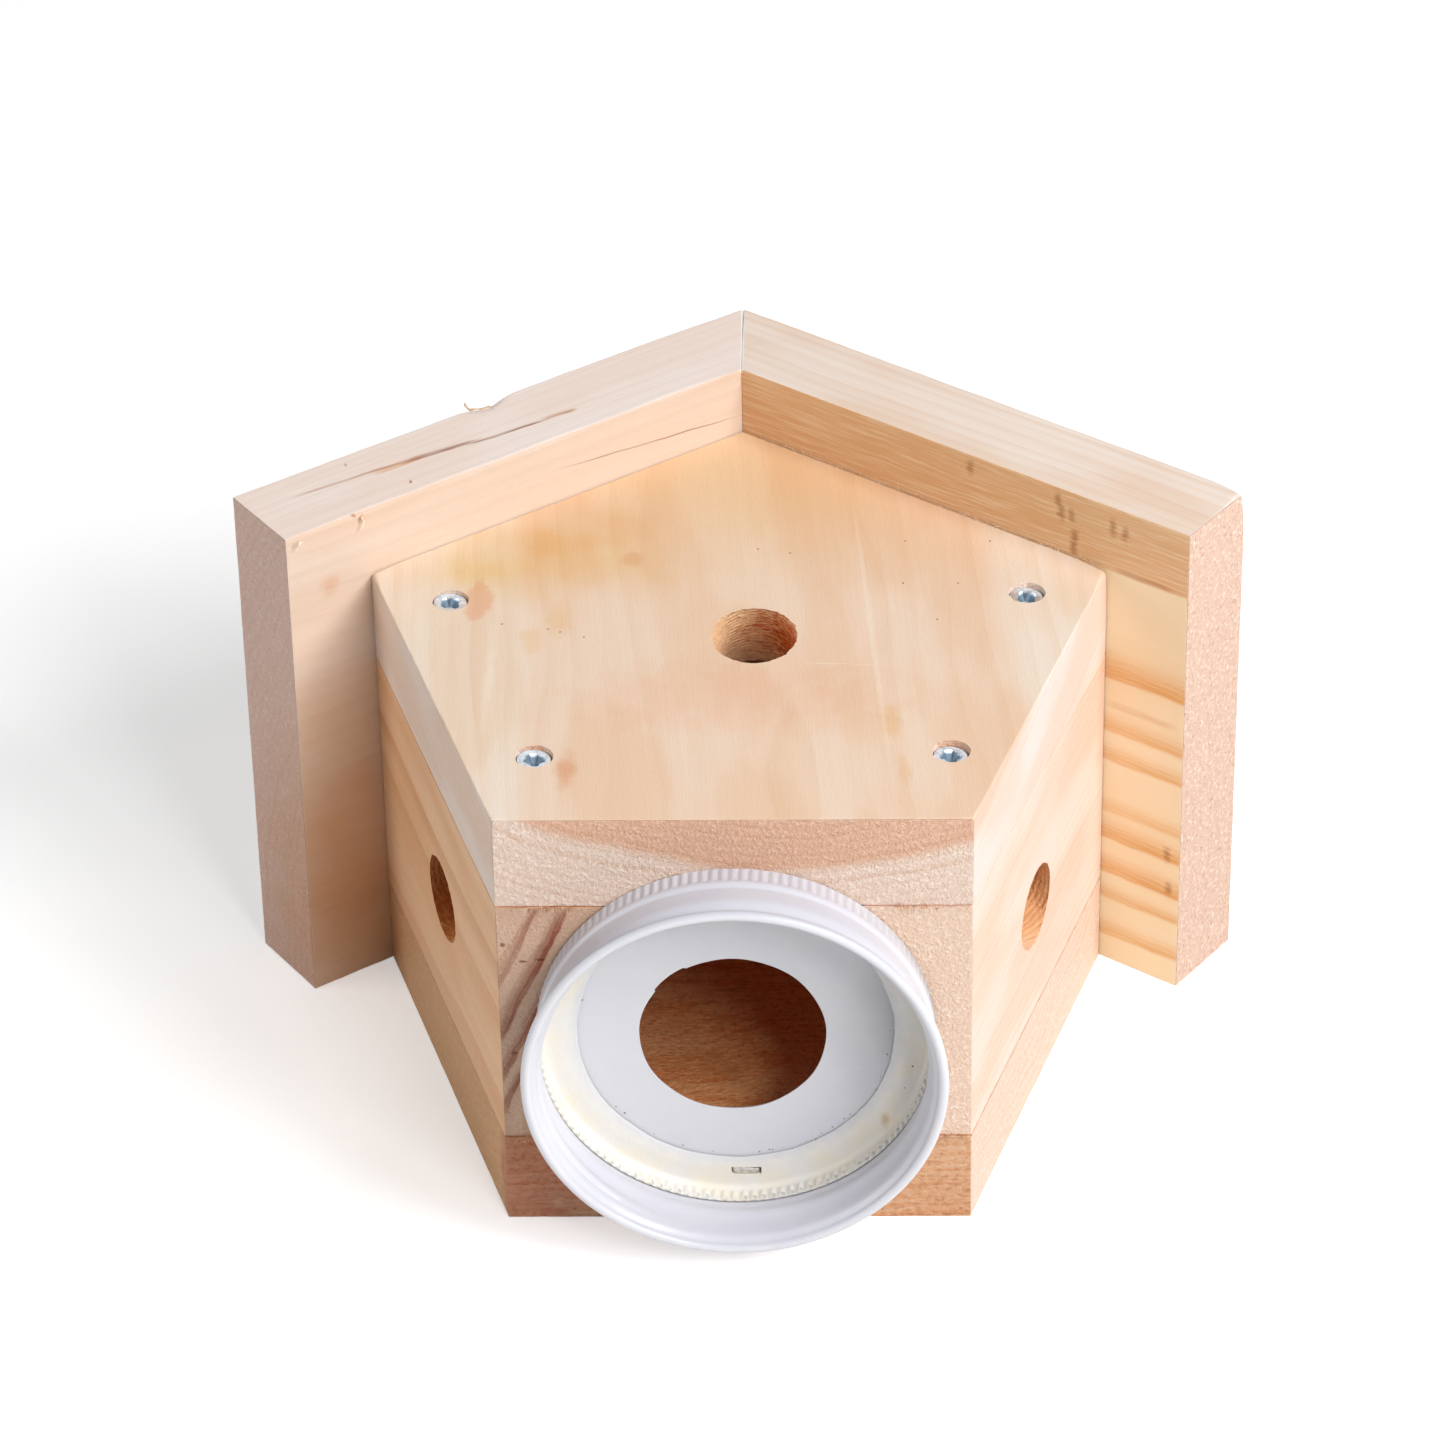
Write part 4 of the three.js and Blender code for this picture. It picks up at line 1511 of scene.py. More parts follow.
# A pale line along the ridge joint: painted light over the shade in the joint's groove
RIDGE_PAINTED_LIGHT = Mark((0.0, 86.0, 104.7), (0.5, 30.0, 1.2), "fdf6f2", 0.9, 0.7, 0.3, 3.0, Blend.COVER)
FRONT_WOOD = WoodFinish(
    "front_panel_wood", grain=(-0.075, 0.997, 0.0), pith=(5.0, 0.0, 186.0), ring=2.2,
    early="f2e2d1", late="e8cdb0", end_early="e4ccbc", end_late="cfa88a", contrast=0.4, end_rings=1.4,
    streaks=0.15, blotch="f8e8d8", heart=106.0, heart_tint="fdf2ea", heart_end_tint="f4dccc",
    # The side edges take cool, slightly darker tints, most on the shaded left edge, and the inner face the
    # chamber's: all painted shade.
    casts=(Cast(LEFT_OUT, "edeaee"), Cast(RIGHT_OUT, "f6f0fa"), Cast((0.0, 0.0, -1.0), CHAMBER_PAINTED_SHADE)),
    marks=(
        Mark((0, 56, 90.7), (78, 50, 8), "fceecf", 0.8, 1.0, 0.25, 20),
        Mark((-36, 28, 90.7), (38, 20, 6), "fbeec6", 0.7, 1.0, 0.4, 14),
        Mark((-49.3, 23, 90.7), (12, 8, 4), "faeab4", 0.55, 1.0, 0.5, 6),
        Mark((-36, 33, 90.7), (12, 8, 4), "f8e6be", 0.5, 1.0, 0.5, 7),
        Mark((-22, 38, 90.7), (9, 9, 4), "f8e2c2", 0.4, 1.0, 0.4, 7),
        stain(-33.3, 6, 3, 8, "f9eac4", 0.5), stain(-38.6, -0.8, 3, 7, "f9eac4", 0.5),
        stain(28.4, -27.9, 2.5, 8, "f6e0ac", 0.5, 4),
        stain(31, -44, 2, 6, "f4dcae", 0.4, 4), stain(-30.4, -43.6, 3, 7, "f0c8b0", 0.7),
        stain(0, -20, 40, 16, "fdece4", 0.6), stain(-20, 27, 3, 4, "f0d2b6", 0.5),
        Mark((-49.0, 12.5, 90.7), (3.6, 8, 2), "f8dccc", 0.85, 0.4, 0.5, 2.5),
        Mark((16.8, -9.2, 90.7), (5, 0.22, 1), "f8e8d4", 0.6, 0.6, 0.9, 1.2, Blend.COVER),
        Mark((24, -9.6, 90.7), (3, 0.18, 1), "f8e8d4", 0.5, 0.6, 0.9, 0.8, Blend.COVER),
        Mark((25, 3, 90.7), (0.8, 58, 1), "fdeedd", 0.3, 0.8, 0.3, 3, Blend.COVER, 4.2),
        Mark((-45.7, -14, 90.7), (1.5, 24, 1), "fdf0e0", 0.35, 0.9, 0.4, 5, Blend.COVER, -1),
        # The entry bore's walls: a warm peach cover, greyer on the left, and a darker red-brown right wall
        # that is painted shade where the wall turns from the key light.
        Mark((3.2, 6.0, 81.1), (26, 30, 22), "ffdcb0", 1.0, 0.12, blend=Blend.COVER, spared=FACE_OUT),
        Mark((1.0, 6.0, 79.5), (12, 16, 15), "e0c8bc", 0.6, 0.9, 1.5, 1.0, ragged_shape=(0.35, 1.5, 1.8),
             spared=FACE_OUT),
        Mark((10.5, 6.0, 79.5), (10, 16, 15), "dc8454", 0.95, 0.6, 1.5, 1.0, ragged_shape=(0.35, 1.5, 1.8),
             spared=FACE_OUT),
        *(speck(*place) for place in (
            (31.6, 33), (37.4, 5.7), (-44.1, 4.7), (-33.1, 1.9), (-28.6, 0.1), (-35.4, 2.9), (9.7, 28.9),
            (3.6, 30.4), (47.8, 32.8), (31.1, 18.2), (41.5, 18.1))),
    ))
BACK_WOOD = WoodFinish(
    "back_panel_wood", grain=(1.0, 0.05, 0.02), pith=(0.0, -30.0, 88.0), ring=2.3, wobble=9.0, streaks=0.6,
    early="ffe4cc", late="f0b88c", end_early="edd0b6", end_late="dfb696", contrast=1.0, long_relief=0.3,
    torn=0.65, end_relief=0.3, end_rings=0.6,
    # The inner face takes a warm tint, painted shade inside the chamber, and the left edge is darker than the
    # right, painted shade on the side away from the key light.
    casts=(Cast(FACE_OUT, "ffd6a6"), Cast(FACE_DOWN, "e3ceb9"), Cast(LEFT_OUT, "d8bc98"),
           Cast(RIGHT_OUT, "faf8ff")),
    # A pinkish darker patch on the lower edge's left part: painted shade.
    marks=(Mark((-40, -59.4, 9.5), (22, 5, 14), "e5caca", 1.0, 0.5),))
LEFT_WOOD = WoodFinish(
    "left_side_wood", grain=(-0.309, 0.951, 0.0), pith=(139.0, 0.0, -33.0), ring=5.8,
    early="e2b890", late="cc966a", end_early="d0ae96", end_late="b07c60", contrast=0.8, wobble=3.0,
    end_fleck="dcbea8", end_rings=0.5,
    # The inner face takes the chamber's painted shade.
    casts=(Cast(LEFT_IN, CHAMBER_PAINTED_SHADE),),
    stripes=(late_ring(-39.2, 62.2, 2.2, 0.6, 14), late_ring(-36.6, 56.0, 3.0, 0.95, 22),
             late_ring(-38.0, 43.1, 2.6, 0.95, 15), late_ring(-41.0, 29.8, 1.6, 0.9, 7)),
    marks=(Mark((-38.4, -59.0, 59.4), (1.2, 4, 0.4), "8a5a42", 0.8, 0.6, 0.6, 1),
           Mark((-35.4, -59.0, 59.8), (1.3, 4, 0.35), "8a5a42", 0.8, 0.6, 0.6, 1),
           Mark((-42.0, -59.0, 63.2), (0.7, 4, 0.6), "a06c50", 0.8, 0.6, 0.5, 1),
           Mark((-40.6, -59.0, 38.6), (0.9, 4, 0.4), "a06c50", 0.7, 0.6, 0.5, 1),
           # The side bore's walls: a warm tint, darker orange-brown painted shade in the middle of the bore,
           # and a paler lower end that is painted light.
           Mark((-48.5, -12.3, 45.4), (14, 20, 20), "ffd8a4", 1.0, 0.12, turn=18, spared=LEFT_OUT),
           Mark((-48.5, -12.3, 45.4), (14, 9, 20), "b87840", 0.6, 1.0, 1.2, 1.1, turn=18, spared=LEFT_OUT),
           Mark((-54.0, -28.0, 45.4), (12, 9, 14), "ecd0b4", 0.8, 1.0, 0.3, blend=Blend.COVER,
                spared=LEFT_OUT)))
RIGHT_WOOD = WoodFinish(
    "right_side_wood", grain=(0.309, 0.951, 0.0), pith=(-90.0, 0.0, -100.0), ring=1.5,
    early="f8ded0", late="eec8b0", end_early="e6c8b2", end_late="dcb89e", contrast=0.5, end_rings=0.5,
    # The inner face takes the chamber's painted shade.
    casts=(Cast(RIGHT_IN, CHAMBER_PAINTED_SHADE), Cast(RIGHT_OUT, "f5f1f0")),
    # The side bore's walls: a warm tint, a paler lower end that is painted light, and darker ochre painted
    # shade nearer the top of the bore.
    marks=(Mark((48.5, -12.3, 43.2), (14, 20, 20), "ffeac4", 1.0, 0.12, turn=-18, spared=RIGHT_OUT),
           Mark((54.0, -27.0, 43.2), (12, 13, 14), "f6dcc8", 0.9, 1.0, 0.3, blend=Blend.COVER,
                spared=RIGHT_OUT),
           Mark((50.5, -10.0, 44.2), (14, 8, 8), "d89c60", 0.7, 1.0, 1.0, 1.2, turn=-18, spared=RIGHT_OUT,
                ragged_shape=(1.5, 0.5, 1.5))))
LEFT_ROOF_WOOD = WoodFinish(
    "left_roof_wood", grain=(0.809, 0.588, 0.0), pith=(27.0, -38.0, 0.0), ring=2.0,
    early="f9ebe3", late="efdacc", end_early="d4b4a4", end_late="ac8270", contrast=0.3, blotch="fcf2ea",
    end_fleck="e6d2c8", end_rings=0.6,
    casts=(Cast(LEFT_ROOF_IN, "e5ddd2"), Cast((0.416, -0.572, 0.707), "f0e0d4", (0.9, 0.99))),
    stripes=(Stripe((-17, 61.3, 95.9), (0.062, 0.045, 0.997), LEFT_ROOF_IN, 0.3, "a87c56", 0.8, 24, 0.2, 0.3),
             Stripe((-73.4, 34.2, 104.7), (-0.53, 0.848, 0), FACE_OUT, 0.7, "c49c78", 0.75, 15, 0.5, 0.4),
             Stripe((-64.5, 38.6, 104.7), (-0.55, 0.835, 0), FACE_OUT, 2.2, "ecc49c", 0.8, 7, 0.6, 0.4),
             Stripe((-57.0, 43.6, 104.7), (-0.51, 0.86, 0), FACE_OUT, 1.3, "90543a", 0.95, 10, 0.5, 0.5),
             Stripe((-44.6, 50.7, 104.7), (-0.52, 0.854, 0), FACE_OUT, 0.8, "94603f", 0.9, 10, 0.4, 0.4),
             Stripe((-34.9, 57.1, 104.7), (-0.55, 0.835, 0), FACE_OUT, 1.1, "c68c58", 0.85, 4.5, 0.5, 0.4)),
    # The first mark is painted shade, darker and warmer over the board's lower part; the ridge mark is
    # painted light.
    marks=(Mark((-75, 18, 20), (32, 28, 66), "eac6a0", 0.9, 1.0, 0.2, 12), RIDGE_PAINTED_LIGHT,
           Mark((-77.3, 17.5, 91.3), (3, 3, 3), "f2ccaa", 0.5),
           Mark((-72.3, 21.2, 104.7), (1.0, 0.5, 1.0), "b8886a", 0.7, 0.8, 0.5, 1),
           Mark((-62.3, 32.8, 104.7), (0.4, 0.9, 0.8), "a46a44", 0.8, 0.8, 0.4, 1),
           Mark((-75.1, 38.9, 104.7), (0.4, 0.8, 0.8), "c08e70", 0.6, 0.8, 0.4, 1)))
RIGHT_ROOF_WOOD = WoodFinish(
    "right_roof_wood", grain=(-0.809, 0.588, 0.0), pith=(-80.0, -110.0, 30.0), ring=2.7,
    early="f5e6da", late="eccfb8", end_early="dcbba7", end_late="c79882", contrast=0.6,
    end_rings=0.3, end_pit="b87858", pores=0.7, pore_turn=30.0,
    casts=(Cast(RIGHT_ROOF_IN, "eed9ae", share=0.75, blend=Blend.COVER),),
    # The first stripe darkens and browns the inner face above the front panel's face: painted shade.
    stripes=(Stripe((76.5, 18.0, 90.9), (0, 0, 1), RIGHT_ROOF_IN, 70.0, "eac8b0", 1.0, 400, 0.8, 0.4),
             *(band(*ring) for ring in (
                 (66.8, 7.5, "e9b974", 0.85), (60.3, 1.6, "dcac74", 0.4, 10), (54.6, 4.5, "ecc084", 0.75),
                 (47.8, 4.5, "eabe80", 0.75), (35.6, 4.0, "f0ca96", 0.6), (29.4, 5.0, "e9b878", 0.85),
                 (21.2, 5.5, "e9b674", 0.85), (15.2, 3.5, "ecc088", 0.7), (6.4, 4.5, "ebbe80", 0.75),
                 (91.3, 0.6, "a8784c", 0.45, 8)))),
    # The ridge mark is painted light over the joint's groove.
    marks=(RIDGE_PAINTED_LIGHT, *(smudge(*place) for place in (
        (60.6, 29.7, 102.0), (61.2, 29.2, 99.3), (63.1, 27.8, 99.6), (70.6, 22.3, 100.2), (73.0, 20.7, 99.6),
        (63.8, 27.4, 95.0), (63.6, 27.5, 92.4), (44.1, 41.6, 101.9), (82.2, 14.0, 30.4),
        (82.7, 13.6, 22.6)))))
SLIVERS = (
    Sliver((-48.4, 61.0, 104.0), (-50.6, 59.6, 104.3), (-52.6, 60.0, 104.2), FACE_OUT, 1.7, 0.3),
    Sliver((-51.6, 59.6, 104.2), (-53.2, 59.4, 104.4), (-53.6, 62.4, 104.3), FACE_OUT, 1.5, 0.3),
    Sliver((-63.3, 32.3, 104.0), (-62.2, 33.6, 104.2), (-62.6, 35.2, 104.0), (0.6, -0.6, 0.5), 1.3),
    Sliver((-70.8, 21.4, 104.2), (-70.0, 21.4, 103.0), (-71.2, 20.6, 101.4), (0.6, -0.8, 0.1), 0.9),
    Sliver((-81.8, 12.6, 104.2), (-81.6, 12.4, 103.6), (-82.6, 11.8, 102.6), (0.6, -0.8, 0.1), 0.8))


@dataclass
class House:
    """The wooden box: two pentagon panels, two side boards and two roof boards, screwed together."""

    eave: float = -18.1
    roof_gap: float = 0.2
    ridge_gap: float = 0.04
    sink: float = 1.7
    lean: float = math.radians(4)
    screw_low: float = 9.525
    screw_high: float = 81.175
    roof_screws: tuple[float, float] = (21.6, 56.3)
    front_screws: dict[tuple[int, str], tuple[float, float, float]] = field(default_factory=lambda: {
        (-1, "lower"): (17.1, 12.8, 0.6), (-1, "upper"): (72.2, 11.8, 0.45),
        (1, "lower"): (19.2, 10.2, 1.0), (1, "upper"): (73.9, 12.2, 0.85)})
    back_screws: tuple[tuple[str, float], ...] = (("lower", 22.5), ("upper", 64.3))
    back_inset: float = 11.8
    front_entry: Point = (3.2, 0.4, 90.7)
    side_entry: float = 40.95
    entry_height: dict[int, float] = field(default_factory=lambda: {-1: 45.35, 1: 43.15})

    def __post_init__(self) -> None:
        """Works out where each screw goes."""
        upward = np.array([0.0, 0.0, 1.0])
        leaning = np.array([-math.sin(self.lean), 0.0, -math.cos(self.lean)])
        self.screws: dict[str, tuple[np.ndarray, np.ndarray]] = {}
        for hand, word in ((-1, "left"), (1, "right")):
            side, roof = edge(2, hand), edge(1, hand)
            for level in ("lower", "upper"):
                along, inset, sink = self.front_screws[hand, level]
                spot = side.spot(along, -inset, PLAN.front_face - sink)
                self.screws[f"front_screw_{word}_{level}"] = (spot, leaning)
            for level, along in self.back_screws:
                spot = side.spot(along, -self.back_inset, self.sink)
                self.screws[f"back_screw_{word}_{level}"] = (spot, upward)
            for face, height in (("back", self.screw_low), ("front", self.screw_high)):
                for level, along in zip(("eave", "ridge"), self.roof_screws):
                    spot = roof.spot(along, self.roof_gap + PLAN.board - self.sink, height)
                    self.screws[f"roof_screw_{word}_{face}_{level}"] = (spot, -wide(roof.outward))

    def pockets(self, start: str) -> list[Cutter]:
        """The holes of the screws whose names start so."""
        return [Pocket(spot, way, 3.0 + number)
                for number, (name, (spot, way)) in enumerate(self.screws.items()) if name.startswith(start)]

    def panel(self, name: str, low: float, finish: WoodFinish, cutters: list[Cutter],
              worn: tuple[Worn, ...], seed: float) -> Board:
        """One of the two pentagon panels."""
        outline = np.array([PLAN.corner(index) for index in (0, 4, 3, 2, 1)])
        return Board(name, "panel_wood", outline, low, low + PLAN.board, finish, seed, worn, cutters=cutters,
                     cap=(6.0, 10.0, 15.0, 21.0, 28.0, 36.0, 45.0, 54.0))

    def front_panel(self) -> Board:
        """The panel with the front entry hole."""
        entry = Bore(np.array(self.front_entry), np.array([0.0, 0.0, -1.0]), np.array([0.0, 1.0, 0.0]), 5.0)
        cutters = [entry, LegSlot(staple_place(1))] + self.pockets("front_screw") + self.pockets("roof_screw")
        worn = tuple(Worn((*PLAN.corner(index), PLAN.front_face), reach, depth)
                     for index, reach, depth in ((1, 5.0, 1.1), (4, 4.0, 0.7), (2, 3.0, 0.3), (3, 3.0, 0.3)))
        return self.panel("front_panel", PLAN.front_low, FRONT_WOOD, cutters, worn, 11.0)

    def back_panel(self) -> Board:
        """The panel that the trap lies on."""
        cutters = [LegSlot(staple_place(-1))] + self.pockets("back_screw") + self.pockets("roof_screw")
        return self.panel("back_panel", 0.0, BACK_WOOD, cutters, (), 12.0)

    def side_board(self, hand: int) -> Board:
        """One side board with its entry hole."""
        word = "right" if hand > 0 else "left"
        side = edge(2, hand)
        shift = PLAN.board / math.tan(math.radians(72))
        outline = [side.at(0, 0), side.at(PLAN.side, 0), side.at(PLAN.side + shift, -PLAN.board),
                   side.at(-shift, -PLAN.board)]
        entry = Bore(side.spot(self.side_entry, 0, self.entry_height[hand]), -wide(side.outward),
                     wide(side.along), 6.0 + hand)
        cutters = [entry] + self.pockets(f"front_screw_{word}") + self.pockets(f"back_screw_{word}")
        finish = RIGHT_WOOD if hand > 0 else LEFT_WOOD
        return Board(f"{word}_side_board", "side_wood", np.array(outline[::hand]), PLAN.side_low,
                     PLAN.side_high, finish, 13.0 + hand, edge_round=0.2, cutters=cutters)

    def roof_board(self, hand: int) -> Board:
        """One roof board, square at the eave and mitred at the ridge."""
        word = "right" if hand > 0 else "left"
        roof = edge(1, hand)
        mitre = math.tan(math.radians(36))
        ridge = PLAN.side + self.roof_gap * mitre - self.ridge_gap / 2 / math.cos(math.radians(36))
        top = self.roof_gap + PLAN.board
        outline = [roof.at(self.eave, self.roof_gap), roof.at(self.eave, top),
                   roof.at(ridge + PLAN.board * mitre, top), roof.at(ridge, self.roof_gap)]
        cutters = self.pockets(f"roof_screw_{word}")
        worn = [Worn((*outline[2], PLAN.roof_depth), 5.0, 0.15),
                Worn((0.0, 81.0, PLAN.roof_depth), 11.0, -0.25)]
        if hand > 0:
            worn.append(Worn((*outline[1], PLAN.roof_depth), 4.5, 1.4))
        else:
            worn.append(Worn((-48.4, 59.8, PLAN.roof_depth), 3.6, 2.9))
            for along in (0, 19, 42, 70):
                worn.append(Worn((*roof.at(along, self.roof_gap), PLAN.roof_depth), 9.0, 0.55))
            start, end = (np.array([x, y, PLAN.roof_depth]) for x, y in ((-61.0, 41.5), (-40.6, 53.1)))
            cutters.append(Crack(start, end, wide(roof.outward), 0.36, 1.2, 8.0))
        return Board(f"{word}_roof_board", "roof_wood", np.array(outline[::hand]), 0.0, PLAN.roof_depth,
                     RIGHT_ROOF_WOOD if hand > 0 else LEFT_ROOF_WOOD, 15.0 + hand, tuple(worn),
                     bend=None if hand > 0 else self.wane, cutters=cutters)

    def wane(self, points: np.ndarray) -> np.ndarray:
        """Raises the left roof board's outer face past the spot where its planing dug in."""
        roof = edge(1, -1)
        flat = points[:, :2] - roof.foot
        along, out = flat @ roof.along, flat @ roof.outward
        lift = 0.5 * ease(36, 49, along) * (1 - ease(76, 98, along))
        lift = lift * ease(75, PLAN.roof_depth, points[:, 2]) * ease(6, 19, out)
        moved = points.copy()
        moved[:, :2] += np.outer(lift, roof.outward)
        return moved

    def build(self) -> None:
        """Makes the boards, screws, splinters and fibres."""
        for board in (self.front_panel(), self.back_panel(), self.side_board(-1), self.side_board(1),
                      self.roof_board(-1), self.roof_board(1)):
            board.build()
        # Blue-grey in each cross recess is painted shade; the matt marks make the same spots rough.
        dark = tuple(Mark(tuple(spot + way * 1.2), (2.3, 2.3, 2.3), "728696", 0.95, 0.25, 0.2, 0.8,
                          Blend.COVER) for spot, way in self.screws.values())
        matt = tuple(replace(mark, colour="e4e4e4") for mark in dark)
        zinc = ZincFinish("screw_zinc", "e2e8ee", "b4bcc4", marks=dark, matt=matt).material()
        screw = Screw(zinc)
        dice = np.random.default_rng(4)
        for name, (spot, way) in self.screws.items():
            screw.build(f"screw.{name}", name, spot, way, float(dice.uniform(0, math.pi / 2)))
        self.splinters()

    def splinters(self) -> None:
        """Makes the slivers on the left roof and the fibres along the rough edges."""
        fibre = FibreFinish("torn_fibre").material()
        hand_in(joined("sliver.left_roof", [sliver.body() for sliver in SLIVERS]), "roof_wood", fibre)
        side = edge(1, 1)
        seam = tuple(tuple(side.spot(along, 0.1, PLAN.front_face)) for along in (2.0, 84.0))
        bodies = Fuzz(seam, (-0.2, -0.2, 1.0), 420, 0.7, 0.12, 0.7, 0.35, 7).bodies()
        hand_in(joined("fuzz.right_roof_seam", bodies), "roof_wood", fibre)
        bodies = []
        for hand in (-1, 1):
            for height, near, up, count in ((PLAN.board, 30.0, 0.5, 170), (PLAN.front_low, 27.5, -0.5, 90)):
                line = tuple((hand * x, -59.45, height) for x in (near, 42.6))
                bodies += Fuzz(line, (0.0, -0.5, up), count, 0.8, 0.15, 0.8, 0.35, 8).bodies()
        brown = FibreFinish("torn_brown_fibre", "efc49c", "a8683f").material()
        hand_in(joined("fuzz.lower_edges", bodies), "panel_wood", brown)


# Marks inside the lid


def grit(x: float, z: float, size: float = 0.3, colour: str = "4a4440") -> Mark:
    """A dark grain of dirt inside the lid."""
    return Mark((x, -60.5, z), (size, 2.0, size), colour, 0.85, 0.6, 0.5, 0.5, Blend.COVER)


ENAMEL_MARKS = (
    # A darker patch on the right of the crown's inside: painted shadow of the skirt
    Mark((40, -60, 46), (26, 4, 36), "afadac", 1.0, 1.0, 0.1, 20),
    Mark((0, -60, 44), (60, 4, 60), "fcfcfb", 1.0),
    *(grit(*place) for place in (
        (27.7, 38.4), (28.7, 38.9, 0.35), (20.7, 22.6, 0.25), (5.8, 16.4, 0.25), (14.5, 18.7), (-20.8, 25.0),
        (-28.0, 51.1, 0.35), (-25.3, 27.4), (10.1, 16.5, 0.25), (25.6, 30.3, 0.2), (18.2, 20.2, 0.2),
        (22.4, 24.8, 0.2), (28.2, 43.9, 0.2), (-4.7, 16.0, 0.2))),
    *(grit(28.4 * math.sin(turn), 44.0 - 28.4 * math.cos(turn), 0.15 + 0.09 * math.sin(11 * turn))
      for turn in np.radians((8, 13, 17, 24, 29, 33, 38, 44, 47, 55, 61, 68, -9, -21, -33, -38, -52, -71))))
COMPOUND_MARKS = (
    Mark((-11.6, -61.0, 8.2), (1.3, 2.0, 0.9), "cfa060", 0.7, 0.9, 0.8, 1.2),
    Mark((-9.1, -61.0, 6.9), (1.1, 2.0, 0.8), "cfa060", 0.7, 0.9, 0.8, 1.2),
    Mark((1.4, -61.0, 7.8), (0.8, 2.0, 0.7), "cfa060", 0.7, 0.9, 0.8, 1.0),
    Mark((27.3, -61.0, 24.2), (1.4, 2.0, 2.6), "d8bc8c", 0.6, 0.9, 0.6, 2.0),
    *(grit(*place) for place in (
        (20.9, 11.3, 0.45), (32.3, 24.9, 0.6, "8a7c66"), (33.0, 28.2, 0.4, "6b5f4a"), (32.3, 36.5, 0.3),
        (27.7, 17.6, 0.45, "5a5044"), (29.5, 20.2, 0.3), (31.1, 23.0, 0.35, "6b5f4a"), (30.8, 31.5, 0.2),
        (24.9, 14.8, 0.25))))


# Floor, light and camera


@dataclass(frozen=True)
class Lamp:
    """A square softbox, by the way to it from the trap, its power and its width in metres."""

    name: str
    way: Point
    power: float
    size: float


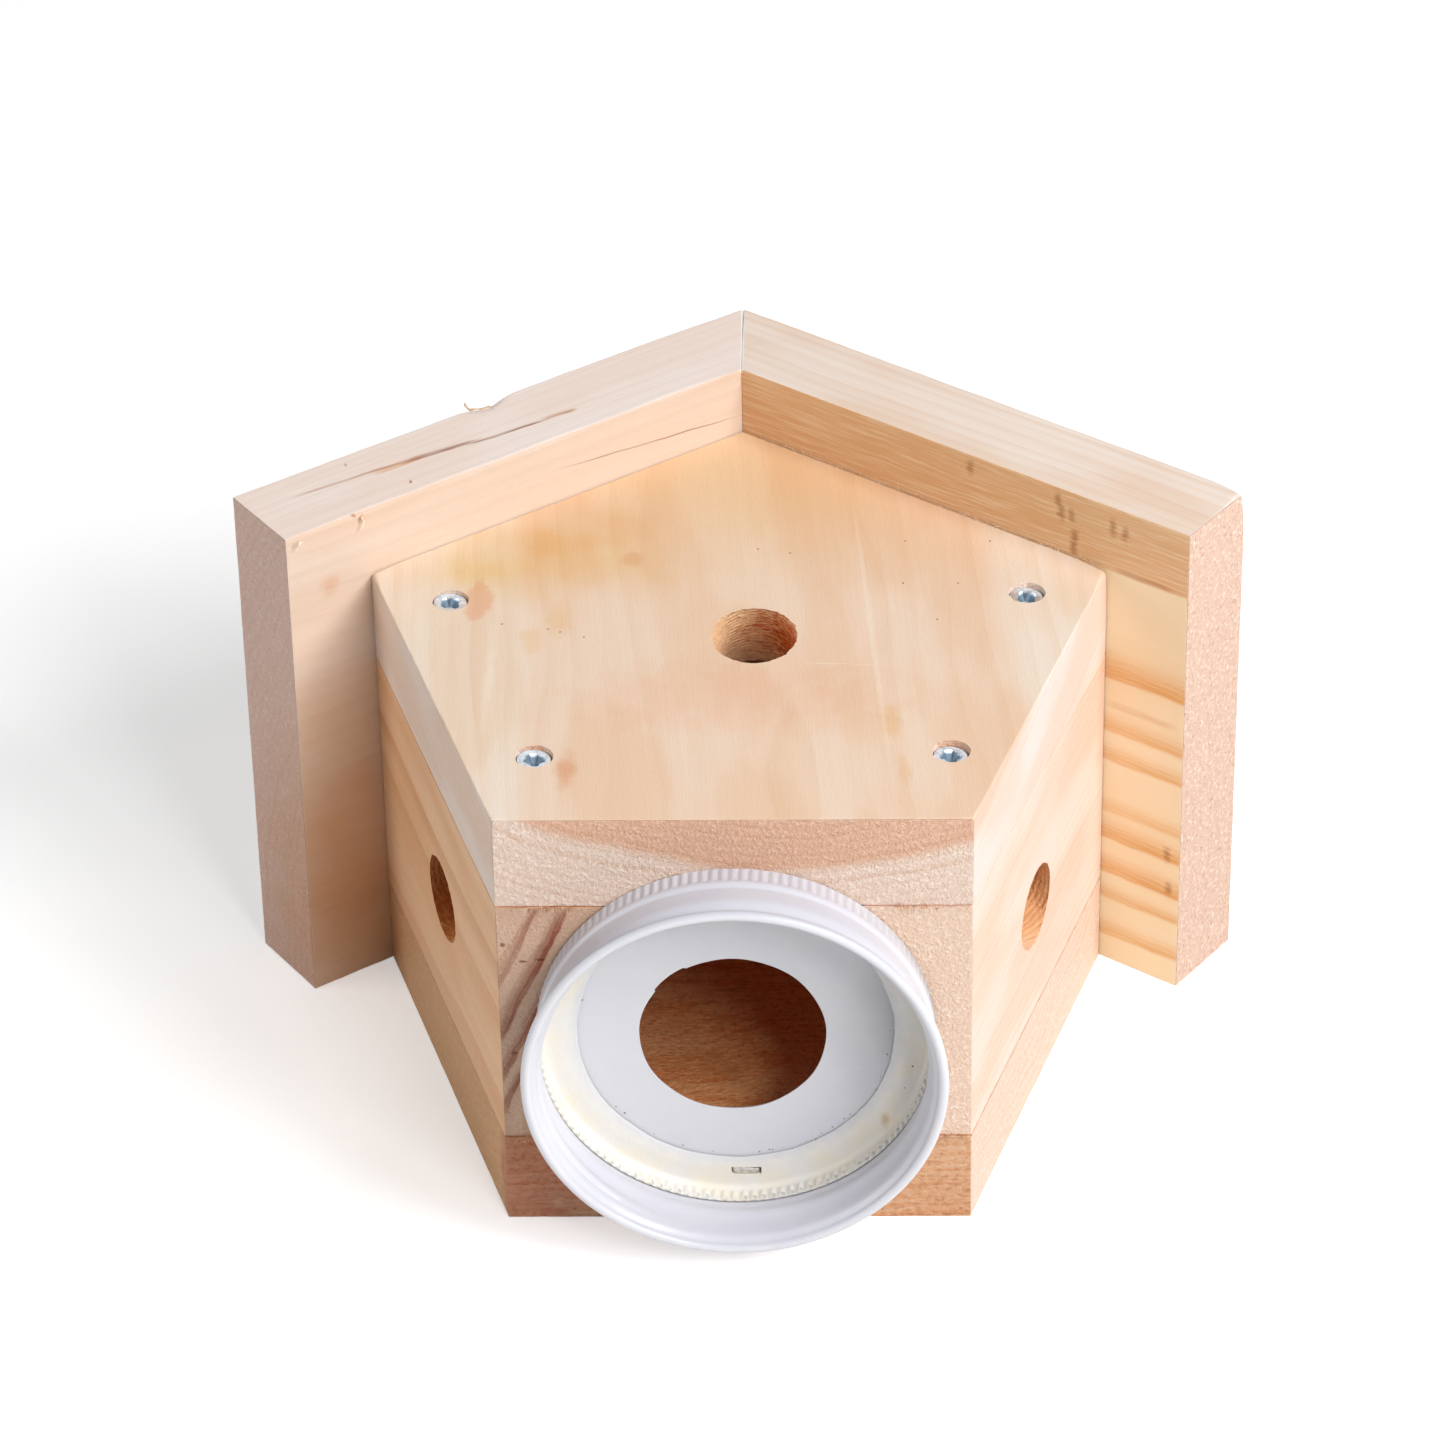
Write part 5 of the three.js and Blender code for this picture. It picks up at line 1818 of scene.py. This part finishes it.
@dataclass(frozen=True)
class Studio:
    """A pale floor, a large softbox at the right, two weak ones and an even white surround."""

    floor_reach: float = 2.0
    floor_colour: str = "f4f4f4"
    floor_patch: str = "f7f7f7"
    floor_lift: float = 0.4
    ambient: float = 0.21
    lamps: tuple[Lamp, ...] = (Lamp("key", (0.63, -0.44, 0.64), 19.0, 0.7),
                               Lamp("fill", (-1.0, -0.2, 0.4), 5.0, 0.8),
                               Lamp("front", (0.32, -0.70, 0.55), 6.0, 0.35))
    lamp_distance: float = 1.5
    aim: Point = (0.0, 0.01, 0.05)

    def seen(self, tree: bpy.types.NodeTree) -> Socket:
        """One for rays that come from the camera, a mirror or clear glass."""
        path = tree.nodes.new("ShaderNodeLightPath")
        total = path.outputs["Is Camera Ray"]
        for name in ("Is Glossy Ray", "Is Transmission Ray"):
            node = tree.nodes.new("ShaderNodeMath")
            node.operation = "MAXIMUM"
            tree.links.new(total, node.inputs[0])
            tree.links.new(path.outputs[name], node.inputs[1])
            total = node.outputs[0]
        return total

    def world(self) -> None:
        """Sets an even surround that looks white."""
        world = bpy.data.worlds.new("surround")
        bpy.context.scene.world = world
        world.use_nodes = True
        tree = world.node_tree
        tree.nodes.clear()
        output = tree.nodes.new("ShaderNodeOutputWorld")
        mix = tree.nodes.new("ShaderNodeMixShader")
        for index, strength in ((1, self.ambient), (2, 1.0)):
            background = tree.nodes.new("ShaderNodeBackground")
            background.inputs["Color"].default_value = (1, 1, 1, 1)
            background.inputs["Strength"].default_value = strength
            tree.links.new(background.outputs[0], mix.inputs[index])
        tree.links.new(self.seen(tree), mix.inputs[0])
        tree.links.new(mix.outputs[0], output.inputs["Surface"])

    def floor(self) -> None:
        """Lays a pale floor that looks white where no shadow falls."""
        reach = self.floor_reach / MM
        corners = np.array([(-reach, -reach, 0), (reach, -reach, 0), (reach, reach, 0), (-reach, reach, 0)])
        piece = new_piece("floor", corners, [(0, 1, 2, 3)])
        graph = Graph("floor_paper")
        paper = graph.cloud(graph.place, 0.02, 2.0)
        colour = graph.wash(shade(self.floor_colour), self.floor_patch, paper, (0.3, 0.7))
        diffuse = graph.add("ShaderNodeBsdfDiffuse")
        graph.feed(diffuse.inputs["Color"], colour)
        glow = graph.add("ShaderNodeEmission")
        glow.inputs["Color"].default_value = (1, 1, 1, 1)
        graph.feed(glow.inputs["Strength"], graph.math("MULTIPLY", self.seen(graph.tree), self.floor_lift))
        both = graph.add("ShaderNodeAddShader")
        graph.feed(both.inputs[0], diffuse.outputs[0])
        graph.feed(both.inputs[1], glow.outputs[0])
        graph.feed(graph.output.inputs["Surface"], both.outputs[0])
        piece.data.materials.append(graph.material)

    def hang(self, lamp: Lamp) -> None:
        """Hangs one softbox that faces the trap."""
        light = bpy.data.lights.new(lamp.name, "AREA")
        light.energy = lamp.power
        light.size = lamp.size
        softbox = bpy.data.objects.new(lamp.name, light)
        bpy.context.scene.collection.objects.link(softbox)
        direction = Vector(lamp.way).normalized()
        softbox.location = Vector(self.aim) + direction * self.lamp_distance
        softbox.rotation_euler = direction.to_track_quat("Z", "Y").to_euler()

    def build(self) -> None:
        """Sets up the floor, the surround and the lamps."""
        self.world()
        self.floor()
        for lamp in self.lamps:
            self.hang(lamp)
        bpy.context.scene.view_settings.view_transform = "Standard"


@dataclass(frozen=True)
class Viewpoint:
    """The camera where the photograph was taken from."""

    focal: float = 6092.49
    picture: float = 1445.0
    sensor: float = 36.0
    elevation: float = math.radians(34.16)
    azimuth: float = math.radians(1.60)
    roll: float = math.radians(-1.13)
    distance: float = 1197.96
    target: Point = (-4.177, 41.580, 43.15)

    def build(self) -> None:
        """Places the camera."""
        back = np.array([math.sin(self.azimuth) * math.cos(self.elevation),
                         -math.cos(self.azimuth) * math.cos(self.elevation), math.sin(self.elevation)])
        right = unit(np.cross(-back, (0, 0, 1)))
        above = np.cross(right, -back)
        cos, sin = math.cos(self.roll), math.sin(self.roll)
        turned, raised = right * cos + above * sin, above * cos - right * sin
        place = (np.array(self.target) + back * self.distance) * MM
        lens = bpy.data.cameras.new("camera")
        lens.sensor_width = self.sensor
        lens.lens = self.sensor * self.focal / self.picture
        lens.clip_end = 20.0
        camera = bpy.data.objects.new("camera", lens)
        bpy.context.scene.collection.objects.link(camera)
        columns = [(*axis, 0.0) for axis in (turned, raised, back)] + [(*place, 1.0)]
        camera.matrix_world = Matrix(columns).transposed()
        bpy.context.scene.camera = camera


def main() -> None:
    """Builds the trap, the light and the camera."""
    logging.basicConfig(level=logging.INFO, format="%(message)s")
    Viewpoint().build()
    Studio().build()
    House().build()
    lid = JarLid(EnamelFinish(marks=ENAMEL_MARKS))
    lid.build()
    Gasket(lid, CompoundFinish(marks=COMPOUND_MARKS)).build()
    wire = ZincFinish("staple_wire", "d9d6cf", "a39a86", 0.28, 0.45).material()
    for name, hand in (("lower", -1), ("upper", 1)):
        Staple(wire).build(f"staple.{name}", f"{name}_staple", hand)


if __name__ == "__main__":
    main()
